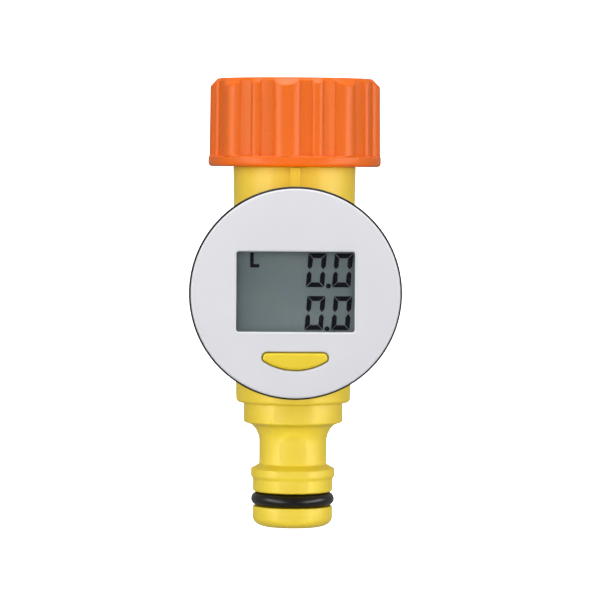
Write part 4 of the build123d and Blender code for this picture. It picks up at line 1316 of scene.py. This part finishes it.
@dataclass
class BodyTube(SubAssembly):
    """The yellow tube, its rib and the drum that holds the display head."""

    flange_r: float = 11.3
    seat: float = -2.8
    flange_bottom: float = -4.4
    neck_r: float = 10.3
    shoulder: float = -7.0
    top_r: float = 12.5
    bottom_r: float = 11.65
    bottom: float = -55.2
    bottom_round: float = 0.8
    drum_r: float = 20.6
    drum_back: float = 11.5
    drum_front: float = 27.3
    drum_round: float = 2.5
    rib_width: float = 2.05
    rib_proud: float = 0.9
    rib_bottom: float = -19.8
    socket_r: float = 18.8
    socket_floor: float = 14.3
    slot_r: float = 19.9
    slot_back: float = 18.7
    slot_front: float = 21.3
    slot_angles: tuple[float, ...] = (90.0, 210.0, 330.0)
    slot_half: float = 6.5
    slot_turn: float = 25.0
    bore_r: float = 8.0
    chamber_r: float = 9.5
    chamber_top: float = -33.0
    pocket_r: float = 9.3
    pocket_bottom: float = -3.8
    web_offset: float = 8.0
    web_half: float = 1.0
    web_outline: tuple[tuple[float, float], ...] = (
        (10.0, -12.5),
        (17.0, -12.5),
        (17.0, -11.0),
        (11.5, -3.0),
        (10.0, -3.0),
    )
    slot_steps: int = 8
    entry_ease: float = 0.2
    entry_shy: float = 0.05
    entry_start: float = 0.5
    overcut: float = 1.0

    def rib(self) -> bpy.types.Object:
        """The rib down the front of the tube, with soft edges.

        Returns:
            A closed solid that runs into the tube and the drum.
        """
        front = -(self.top_r + self.rib_proud)
        outline = rounded(
            [
                Corner(-self.rib_width / 2, front, 0.3),
                Corner(self.rib_width / 2, front, 0.3),
                Corner(self.rib_width / 2, -self.neck_r),
                Corner(-self.rib_width / 2, -self.neck_r),
            ]
        )
        top = (self.shoulder - 0.3) * MM
        points = [Vector((p.x * MM, p.y * MM, top)) for p in outline]
        piece = prism("rib", points, Vector((0, 0, self.rib_bottom * MM - top)))
        pick_edges(piece, lambda a, b: a.z == b.z == top and a.y < -self.top_r * MM * 1.01)
        bevel_picked(0.2, 2)
        return piece

    def web(self, side: int, z: float) -> bpy.types.Object:
        """One of the webs between the tube and the drum's back.

        Args:
            side: 1 on the right and -1 on the left.
            z: The height of its middle.

        Returns:
            A closed solid.
        """
        low = z - self.web_half
        points = [Vector((side * x, y, low)) * MM for x, y in self.web_outline]
        return prism("web", points, Vector((0, 0, 2 * self.web_half * MM)))

    def slot(self, start: float, end: float, wall: float, back: float, front: float) -> bpy.types.Object:
        """A bayonet slot in the socket's wall.

        Args:
            start: Its first angle in degrees.
            end: Its last angle.
            wall: Its outer radius.
            back: Its depth from the tube's axis.
            front: How far forward it runs.

        Returns:
            The solid to cut away.
        """
        steps = self.slot_steps
        sweep = [math.radians(start + (end - start) * i / steps) for i in range(steps + 1)]
        inner = self.socket_r - self.overcut
        flat = [(wall, a) for a in sweep] + [(inner, a) for a in reversed(sweep)]
        points = [
            Vector((r * math.cos(a) * MM, -back * MM, r * math.sin(a) * MM)) + self.head.centre
            for r, a in flat
        ]
        return prism("slot", points, self.head.axis * (front - back) * MM)

    def build(self) -> None:
        """Unite the outside shapes, then cut the water way and the head's socket."""
        body = self.tube.turned(
            "meter_tube",
            [
                Corner(0, self.seat),
                Corner(self.flange_r, self.seat, 0.4),
                Corner(self.flange_r, self.flange_bottom, 0.15),
                Corner(self.neck_r, self.flange_bottom),
                Corner(self.neck_r, self.shoulder),
                Corner(self.top_r, self.shoulder, 0.35),
                Corner(self.bottom_r, self.bottom, self.bottom_round),
                Corner(0, self.bottom),
            ],
            closed=False,
        )
        drum = self.head.turned(
            "drum",
            [
                Corner(0, self.drum_back),
                Corner(self.drum_r, self.drum_back, self.drum_round),
                Corner(self.drum_r, self.drum_front, 0.2),
                Corner(0, self.drum_front),
            ],
            closed=False,
        )
        joined(body, drum, Join.UNITE)
        joined(body, self.rib(), Join.UNITE)
        head_z = self.head.centre.z / MM
        for z in (head_z + self.web_offset, head_z - self.web_offset):
            for side in (-1, 1):
                joined(body, self.web(side, z), Join.UNITE)
        bore = self.tube.turned(
            "bore",
            [
                Corner(0, self.seat + self.overcut),
                Corner(self.pocket_r, self.seat + self.overcut),
                Corner(self.pocket_r, self.pocket_bottom),
                Corner(self.bore_r, self.pocket_bottom),
                Corner(self.bore_r, self.chamber_top),
                Corner(self.chamber_r, self.chamber_top),
                Corner(self.chamber_r, self.bottom - self.overcut),
                Corner(0, self.bottom - self.overcut),
            ],
            closed=False,
        )
        joined(body, bore, Join.CUT)
        socket = self.head.turned(
            "socket",
            [
                Corner(0, self.socket_floor),
                Corner(self.socket_r, self.socket_floor, 0.3),
                Corner(self.socket_r, self.drum_front + self.overcut),
                Corner(0, self.drum_front + self.overcut),
            ],
            closed=False,
        )
        joined(body, socket, Join.CUT)
        for angle in self.slot_angles:
            swept = self.slot(
                angle - self.slot_half,
                angle + self.slot_turn + self.slot_half,
                self.slot_r,
                self.slot_back,
                self.slot_front,
            )
            joined(body, swept, Join.CUT)
            entry = self.slot(
                angle + self.slot_turn - self.slot_half,
                angle + self.slot_turn + self.slot_half - self.entry_ease,
                self.slot_r - self.entry_shy,
                self.slot_back + self.entry_start,
                self.drum_front + self.overcut,
            )
            joined(body, entry, Join.CUT)
        flattened(body)
        with editing(body):
            bpy.ops.mesh.fill_holes(sides=4)
        put_right(body)
        self.add(body, Body.METER, "yellow_plastic", "main_body")


@dataclass
class Outlet(SubAssembly):
    """The quick-connect plug with its parting line and O-ring."""

    spigot_r: float = 9.4
    spigot_inner: float = 7.8
    spigot_top: float = -50.9
    seal_r: float = 8.0
    seal_top: float = -52.2
    seal_bottom: float = -54.0
    step_top: float = -55.2
    step_r: float = 10.1
    step_bottom: float = -59.2
    hollow: tuple[tuple[float, float], ...] = (
        (8.62, -59.68),
        (8.0, -60.22),
        (7.49, -60.92),
        (7.13, -61.72),
        (6.93, -62.42),
    )
    neck_r: float = 6.87
    neck_top: float = -63.2
    neck_bottom: float = -67.8
    collar_r: float = 8.575
    collar_top: float = -68.75
    collar_bottom: float = -70.2
    nose_r: float = 8.14
    nose_top: float = -70.9
    groove_top: float = -73.45
    groove_bottom: float = -76.4
    groove_r: float = 5.82
    curve_top: float = -78.7
    tip_r: float = 5.3
    tip: float = -80.6
    bore_r: float = 4.4
    nose_steps: int = 8
    line_half: float = 0.09
    line_proud: float = 0.06
    line_top: float = -54.7
    flash_width: float = 0.06
    flash_proud: float = 0.02
    ring_section: float = 1.325
    ring_centre_r: float = 7.165
    ring_z: float = -74.94

    def profile(self) -> list[Corner]:
        """The plug's section, from the spigot down to the tip and back up the bore."""
        nose = [
            Corner(
                self.tip_r + (self.nose_r - self.tip_r) * math.cos(turn),
                self.curve_top - (self.curve_top - self.tip) * math.sin(turn),
            )
            for turn in (math.pi / 2 * i / self.nose_steps for i in range(self.nose_steps + 1))
        ]
        return [
            Corner(self.spigot_inner, self.spigot_top),
            Corner(self.spigot_r, self.spigot_top, 0.3),
            Corner(self.spigot_r, self.seal_top),
            Corner(self.seal_r, self.seal_top),
            Corner(self.seal_r, self.seal_bottom),
            Corner(self.spigot_r, self.seal_bottom),
            Corner(self.spigot_r, self.step_top),
            Corner(self.step_r, self.step_top, 0.1),
            Corner(self.step_r, self.step_bottom, 0.4),
            *(Corner(out, along) for out, along in self.hollow),
            Corner(self.neck_r, self.neck_top),
            Corner(self.neck_r, self.neck_bottom, 0.35),
            Corner(self.collar_r, self.collar_top, 0.3),
            Corner(self.collar_r, self.collar_bottom, 0.25),
            Corner(self.nose_r, self.nose_top, 0.3),
            Corner(self.nose_r, self.groove_top, 0.45),
            Corner(self.groove_r, self.groove_top, 0.2),
            Corner(self.groove_r, self.groove_bottom, 0.2),
            Corner(self.nose_r, self.groove_bottom, 0.25),
            *nose,
            Corner(self.bore_r, self.tip, 0.35),
            Corner(self.bore_r, self.neck_top),
            Corner(self.spigot_inner, self.step_top),
        ]

    def add_parting_line(self, piece: bpy.types.Object) -> None:
        """Raise the fine line that the mould's two halves leave, front and back.

        Args:
            piece: The turned plug.
        """
        for x in (-self.line_half, 0.0, self.line_half):
            with editing(piece):
                bpy.ops.mesh.bisect(plane_co=(x * MM, 0, 0), plane_no=(1, 0, 0))
        for vertex in piece.data.vertices:
            out = abs(vertex.co.y)
            below = vertex.co.z < self.line_top * MM
            if abs(vertex.co.x) < WELD and out > self.neck_r * MM * 0.99 and below:
                vertex.co.y += math.copysign(self.line_proud * MM, vertex.co.y)

    def ring(self) -> bpy.types.Object:
        """The O-ring, with the mould's faint flash round its outside.

        Returns:
            The finished mesh.
        """
        bpy.ops.object.select_all(action="DESELECT")
        bpy.ops.mesh.primitive_torus_add(
            location=(0, 0, self.ring_z * MM),
            major_radius=self.ring_centre_r * MM,
            minor_radius=self.ring_section * MM,
            major_segments=144,
            minor_segments=40,
        )
        piece = started("outlet_o_ring_rubber")
        outer = (self.ring_centre_r + self.ring_section) * MM
        pick_edges(piece, lambda a, b: min(a.xy.length, b.xy.length) > outer - WELD)
        bevel_picked(self.flash_width, 2)
        for vertex in piece.data.vertices:
            if vertex.co.xy.length > outer - WELD and abs(vertex.co.z - self.ring_z * MM) < WELD:
                vertex.co.xy *= 1 + self.flash_proud * MM / outer
        return piece

    def build(self) -> None:
        """Turn the plug, raise its parting line and fit the O-rings."""
        plug = self.tube.turned("outlet_plug", self.profile(), steps=144)
        self.add_parting_line(plug)
        self.add(plug, Body.METER, "yellow_plastic", "outlet_coupling")
        self.add(self.ring(), Body.METER, "black_rubber", "outlet_o_ring")


# ---------------------------------------------------------------- display head


@dataclass(frozen=True)
class Smile:
    """The button's outline: straight on top, a shallow arc below."""

    half: float = 6.6
    top: float = -11.4
    low: float = -15.2
    arc_r: float = 11.89
    upper_corner: float = 1.1
    lower_corner: float = 0.8
    least_corner: float = 0.1
    steps: int = 18

    def corners(self, growth: float) -> list[Corner]:
        """Its corners, across and up from the head's middle.

        Args:
            growth: How far it is grown, or shrunk where negative, in millimetres.

        Returns:
            The corners, the arc's own points among them.
        """
        half = self.half + growth
        top = self.top + growth
        arc_r = self.arc_r + growth
        arc_y = self.low + self.arc_r
        end = arc_y - math.sqrt(arc_r**2 - half**2)
        sweep = math.asin(half / arc_r)
        turns = (sweep * (1 - 2 * i / self.steps) for i in range(2, self.steps - 1))
        arc = [Corner(arc_r * math.sin(turn), arc_y - arc_r * math.cos(turn)) for turn in turns]
        upper = max(self.least_corner, self.upper_corner + growth)
        lower = max(self.least_corner, self.lower_corner + growth)
        return [
            Corner(-half, top, upper),
            Corner(half, top, upper),
            Corner(half, end, lower),
            *arc,
            Corner(-half, end, lower),
        ]


SMILE = Smile()


@dataclass
class DisplayHead(SubAssembly):
    """The white cover, its window, the black case and the button."""

    cover_r: float = 20.55
    cover_front: float = 31.0
    plate_back: float = 29.5
    skirt_outer: float = 17.6
    skirt_inner: float = 16.4
    skirt_end: float = 26.0
    cover_round: float = 0.45
    window_w: float = 23.25
    window_h: float = 15.8
    window_y: float = 0.35
    window_corner: float = 0.5
    opening_bevel: float = 0.24
    post_places: tuple[tuple[float, float], ...] = (
        (14.95, 3.2),
        (-14.95, 3.2),
        (10.7, -10.95),
        (-10.7, -10.95),
    )
    post_r: float = 1.6
    post_hole: float = 1.0
    post_end: float = 22.4
    lens_w: float = 25.4
    lens_back: float = 28.35
    lens_front: float = 29.35
    cap_front: float = 31.1
    cap_gap: float = 0.25
    cap_round: float = 0.65
    cap_drop: float = 0.42
    cap_steps: int = 7
    flange_front: float = 29.4
    flange_back: float = 28.7
    flange: float = 0.4
    flange_shy: float = 0.01
    plunger_r: float = 1.6
    plunger_y: float = -13.1
    plunger_end: float = 27.4

    def on_face(self, across: float, up: float, depth: float) -> Vector:
        """A point of the head in metres, from millimetres across, up and forward."""
        return self.head.centre + Vector((across, -depth, up)) * MM

    def window_corners(self, growth: float) -> list[Corner]:
        """The window's rounded rectangle, grown by some millimetres."""
        right, up = self.window_w / 2 + growth, self.window_h / 2 + growth
        corner = self.window_corner + growth / 3
        return [
            Corner(-right, self.window_y + up, corner),
            Corner(right, self.window_y + up, corner),
            Corner(right, self.window_y - up, corner),
            Corner(-right, self.window_y - up, corner),
        ]

    def cover(self) -> bpy.types.Object:
        """The white cover, cut for the window and the button.

        Returns:
            The finished mesh.
        """
        piece = self.head.turned(
            "white_cover",
            [
                Corner(0, self.cover_front),
                Corner(self.cover_r, self.cover_front, self.cover_round),
                Corner(self.cover_r, self.plate_back - 0.05, 0.08),
                Corner(self.skirt_outer, self.plate_back - 0.05),
                Corner(self.skirt_outer, self.skirt_end, 0.1),
                Corner(self.skirt_inner, self.skirt_end, 0.1),
                Corner(self.skirt_inner, self.plate_back),
                Corner(0, self.plate_back),
            ],
            closed=False,
            steps=192,
        )
        for across, up in self.post_places:
            lathe = Lathe(self.on_face(across, up, 0), self.head.axis)
            post = lathe.turned(
                "post",
                [
                    Corner(0, self.post_end),
                    Corner(self.post_r, self.post_end, 0.1),
                    Corner(self.post_r, self.plate_back + 0.5),
                    Corner(0, self.plate_back + 0.5),
                ],
                closed=False,
                steps=32,
            )
            joined(piece, post, Join.UNITE)
            hole = lathe.turned(
                "hole",
                [
                    Corner(0, self.post_end - 1),
                    Corner(self.post_hole, self.post_end - 1),
                    Corner(self.post_hole, self.plate_back - 1),
                    Corner(0, self.plate_back - 1),
                ],
                closed=False,
                steps=24,
            )
            joined(piece, hole, Join.CUT)
        flare = self.opening_bevel
        levels = (
            (0.0, self.plate_back - 1),
            (0.0, self.cover_front - flare),
            (flare + 0.2, self.cover_front + 0.2),
        )
        for name, outline in (("window", self.window_corners), ("mouth", SMILE.corners)):
            joined(piece, self.stacked(name, outline, levels), Join.CUT)
        flattened(piece)
        return piece

    def stacked(
        self,
        name: str,
        outline: Callable[[float], list[Corner]],
        levels: Sequence[tuple[float, float]],
    ) -> bpy.types.Object:
        """A solid whose outline grows or shrinks from level to level.

        Args:
            name: The piece's name.
            outline: Gives the outline's corners for a growth in millimetres.
            levels: A growth and a depth for each level, from back to front.

        Returns:
            The closed solid.
        """
        rings = [
            [self.on_face(p.x, p.y, depth) for p in rounded(outline(growth))]
            for growth, depth in levels
        ]
        return lofted(name, rings)

    def button(self) -> bpy.types.Object:
        """The smile-shaped cap: a soft crown over a flange and a short plunger.

        Returns:
            The finished mesh.
        """
        levels = [(-self.cap_gap, self.flange_back)]
        for step in range(self.cap_steps + 1):
            turn = math.pi / 2 * step / self.cap_steps
            inset = self.cap_round * (1 - math.cos(turn))
            drop = self.cap_drop * (1 - math.sin(turn))
            levels.append((-self.cap_gap - inset, self.cap_front - drop))
        piece = self.stacked("reset_button", SMILE.corners, levels)
        back, front = self.flange_back, self.flange_front
        rims = [(self.flange, back - self.flange_shy), (self.flange, front)]
        flange = self.stacked("flange", SMILE.corners, rims)
        joined(piece, flange, Join.UNITE)
        plunger = Lathe(self.on_face(0, self.plunger_y, 0), self.head.axis).turned(
            "plunger",
            [
                Corner(0, self.plunger_end),
                Corner(self.plunger_r, self.plunger_end, 0.15),
                Corner(self.plunger_r, self.flange_back + 0.3),
                Corner(0, self.flange_back + 0.3),
            ],
            closed=False,
            steps=40,
        )
        joined(piece, plunger, Join.UNITE)
        return piece

    def build(self) -> None:
        """Make the head's visible pieces."""
        self.add(self.cover(), Body.HEAD, "white_plastic", "front_cover")
        spread = (self.lens_w - self.window_w) / 2
        lens = self.stacked(
            "window_lens",
            self.window_corners,
            [(spread, self.lens_back), (spread, self.lens_front)],
        )
        self.add(lens, Body.HEAD, "clear_window", "display_window")
        self.add(self.button(), Body.BUTTON, "yellow_plastic", "button_cap", finish="button_yellow")


# ---------------------------------------------------------------- pieces kept from the frame


@dataclass
class Works:
    """The pieces inside, whose shape the frame already has."""

    palette: Palette
    smoothed: tuple[str, ...] = (
        "coupling_o_ring",
        "flow_straightener",
        "rear_stator",
        "measuring_sleeve",
        "upstream_bearing",
        "downstream_bearing",
        "turbine_rotor",
        "rotor_shaft",
        "rotor_magnets",
        "rear_case",
        "case_gasket",
        "button_dome",
        "contact_pill",
        "circuit_board",
        "controller_blob",
        "crystal",
        "reed_switch",
        "reed_leads",
        "battery_holder",
        "positive_contact",
        "negative_contact",
        "coin_cell",
        "battery_door",
        "door_seal",
        "case_screws",
    )
    plain: tuple[str, ...] = (
        "window_tape",
        "lcd_front_glass",
        "lcd_rear_glass",
        "lcd_reflector",
        "lcd_segments",
        "lcd_frame",
        "zebra_strips",
        "capacitors",
    )
    dome_keep: float = 0.78
    slots: dict[str, str] = field(default_factory=dict)

    def build(self) -> None:
        """Dress each node, as a smooth copy where it has round surfaces."""
        rows = frame["record"]["subparts"]
        self.slots = {row["node"]: row["material_slot"] for row in rows}
        for node in self.smoothed:
            piece = smooth_copy(node)
            piece.data.materials.clear()
            self.palette.dress(piece, self.slots[node])
            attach(piece, frame["nodes"][node]["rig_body"])
            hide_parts(node)
            if node == "button_dome":
                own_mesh(piece)
            LOG.info("%s: smooth copy, %d faces", piece.name, len(piece.data.polygons))
        for node in self.plain:
            self.palette.dress(frame["nodes"][node], self.slots[node])
            LOG.info("%s: kept, dressed in %s", node, self.slots[node])


# ---------------------------------------------------------------- studio


@dataclass(frozen=True)
class SoftBox:
    """An area light that faces the frame's origin."""

    name: str
    place: Vector
    size: tuple[float, float]
    watts: float
    up: str = "Y"
    glossy: bool = True

    def hang(self) -> None:
        """Add the light to the scene."""
        light = bpy.data.lights.new(self.name, "AREA")
        light.shape = "RECTANGLE"
        light.size, light.size_y = self.size
        light.energy = self.watts
        lamp = bpy.data.objects.new(self.name, light)
        lamp.location = self.place
        lamp.rotation_euler = (-self.place).to_track_quat("-Z", self.up).to_euler()
        lamp.visible_glossy = self.glossy
        bpy.context.scene.collection.objects.link(lamp)


@dataclass
class Studio:
    """Pale floor and backdrop, soft boxes, a dark card and the camera."""

    eye: Vector = field(default_factory=lambda: Vector((-8.6, -735.0, -5.7)) * MM)
    yaw: float = 0.77
    pitch: float = 2.23
    roll: float = 0.37
    lens: float = 216.0
    room: float = 4.0
    backdrop_y: float = 0.9
    floor_glow: float = 1.0
    ambient: float = 0.34
    away: float = 0.9
    left_turn: float = -53.0
    right_turn: float = 62.0
    side_size: tuple[float, float] = (0.3, 1.2)
    side_watts: float = 5.4
    top_size: float = 0.8
    top_forward: float = 0.1
    top_watts: float = 9.0
    fill_size: float = 1.5
    fill_away: float = 1.6
    fill_watts: float = 16.5
    flag_size: float = 0.34
    flag_place: tuple[float, float, float] = (0, -0.95, -0.02)

    def surface(self, name: str) -> bpy.types.Material:
        """Matt white paint with a faint mottle, lit from behind as a tent is.

        Args:
            name: The material's name.

        Returns:
            The material.
        """
        material, bench, shader = started_material(name)
        place = bench.add("TexCoord")
        noise = bench.add("TexNoise", Scale=6.0, Detail=2.0)
        bench.wire(place.outputs["Object"], noise.inputs["Vector"])
        tone = bench.blend(noise.outputs["Fac"], (0.9, 0.9, 0.9), (0.88, 0.88, 0.885))
        bench.wire(tone, shader.inputs["Base Color"])
        shader.inputs["Roughness"].default_value = 0.9
        shader.inputs["Emission Color"].default_value = (1, 1, 1, 1)
        shader.inputs["Emission Strength"].default_value = self.floor_glow
        return material

    def lights(self) -> list[SoftBox]:
        """The two tall side boxes, the top box and a weak fill that shows in no gloss."""
        boxes = []
        for name, degrees in (("left_soft_box", self.left_turn), ("right_soft_box", self.right_turn)):
            turn = math.radians(degrees)
            across, back = self.away * math.sin(turn), -self.away * math.cos(turn)
            place = Vector((across, back, CAD_BOX[0].z / 2))
            boxes.append(SoftBox(name, place, self.side_size, self.side_watts, up="Z"))
        above = Vector((0, -self.top_forward, self.away))
        boxes.append(SoftBox("top_soft_box", above, (self.top_size, self.top_size), self.top_watts))
        front = Vector((0, -self.fill_away, CAD_BOX[0].z))
        size = (self.fill_size, self.fill_size)
        boxes.append(SoftBox("front_fill", front, size, self.fill_watts, glossy=False))
        return boxes

    def flag(self) -> None:
        """A dark card behind the camera, which keeps glare off the display window."""
        bpy.ops.object.select_all(action="DESELECT")
        bpy.ops.mesh.primitive_plane_add(
            size=self.flag_size, location=self.flag_place, rotation=(math.pi / 2, 0, 0)
        )
        card = started("dark_card")
        material, bench, shader = started_material("black_card")
        noise = bench.add("TexNoise", Scale=40.0)
        tone = bench.blend(noise.outputs["Fac"], (0.01, 0.01, 0.01), (0.015, 0.015, 0.015))
        bench.wire(tone, shader.inputs["Base Color"])
        card.data.materials.append(material)
        card.visible_camera = False
        card.visible_diffuse = False
        card.visible_shadow = False

    def build(self) -> None:
        """Set up the floor, the backdrop, the lights, the world and the camera."""
        for name, spot, tilt in (
            ("floor", (0, 0, CAD_BOX[0].z), 0.0),
            ("backdrop", (0, self.backdrop_y, 0), math.pi / 2),
        ):
            bpy.ops.object.select_all(action="DESELECT")
            bpy.ops.mesh.primitive_plane_add(size=self.room, location=spot, rotation=(tilt, 0, 0))
            sheet = started(name)
            sheet.data.materials.append(self.surface(f"{name}_white"))
            sheet.visible_diffuse = False
            sheet.visible_glossy = False
            sheet.visible_transmission = False
        for box in self.lights():
            box.hang()
        self.flag()
        world = bpy.data.worlds.new("tent")
        world.use_nodes = True
        world.node_tree.nodes["Background"].inputs["Color"].default_value = (1, 1, 1, 1)
        world.node_tree.nodes["Background"].inputs["Strength"].default_value = self.ambient
        bpy.context.scene.world = world
        bpy.context.scene.view_settings.view_transform = "Standard"
        self.camera()

    def camera(self) -> None:
        """Place the camera a little above the display, looking slightly down."""
        data = bpy.data.cameras.new("camera")
        data.lens = self.lens
        camera = bpy.data.objects.new("camera", data)
        yaw, pitch = math.radians(self.yaw), math.radians(self.pitch)
        ahead = Vector((math.sin(yaw) * math.cos(pitch), math.cos(yaw) * math.cos(pitch), -math.sin(pitch)))
        roll = Quaternion((0, 0, 1), math.radians(self.roll))
        camera.location = self.eye
        camera.rotation_euler = (ahead.to_track_quat("-Z", "Y") @ roll).to_euler()
        bpy.context.scene.collection.objects.link(camera)
        bpy.context.scene.camera = camera


def main() -> None:
    """Build the meter's sub-assemblies in order, then the studio."""
    logging.basicConfig(level=logging.INFO, format="%(name)s %(message)s")
    palette = Palette()
    cover_low, cover_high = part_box("front_cover")
    tube = Lathe(Vector((0, 0, 0)), Vector((0, 0, 1)))
    head = Lathe(Vector((0, 0, (cover_low.z + cover_high.z) / 2)), Vector((0, -1, 0)))
    for assembly in (TapNut, InletSieve, BodyTube, Outlet, DisplayHead):
        assembly(palette, tube, head).build()
    Works(palette).build()
    Studio().build()


if __name__ == "__main__":
    main()
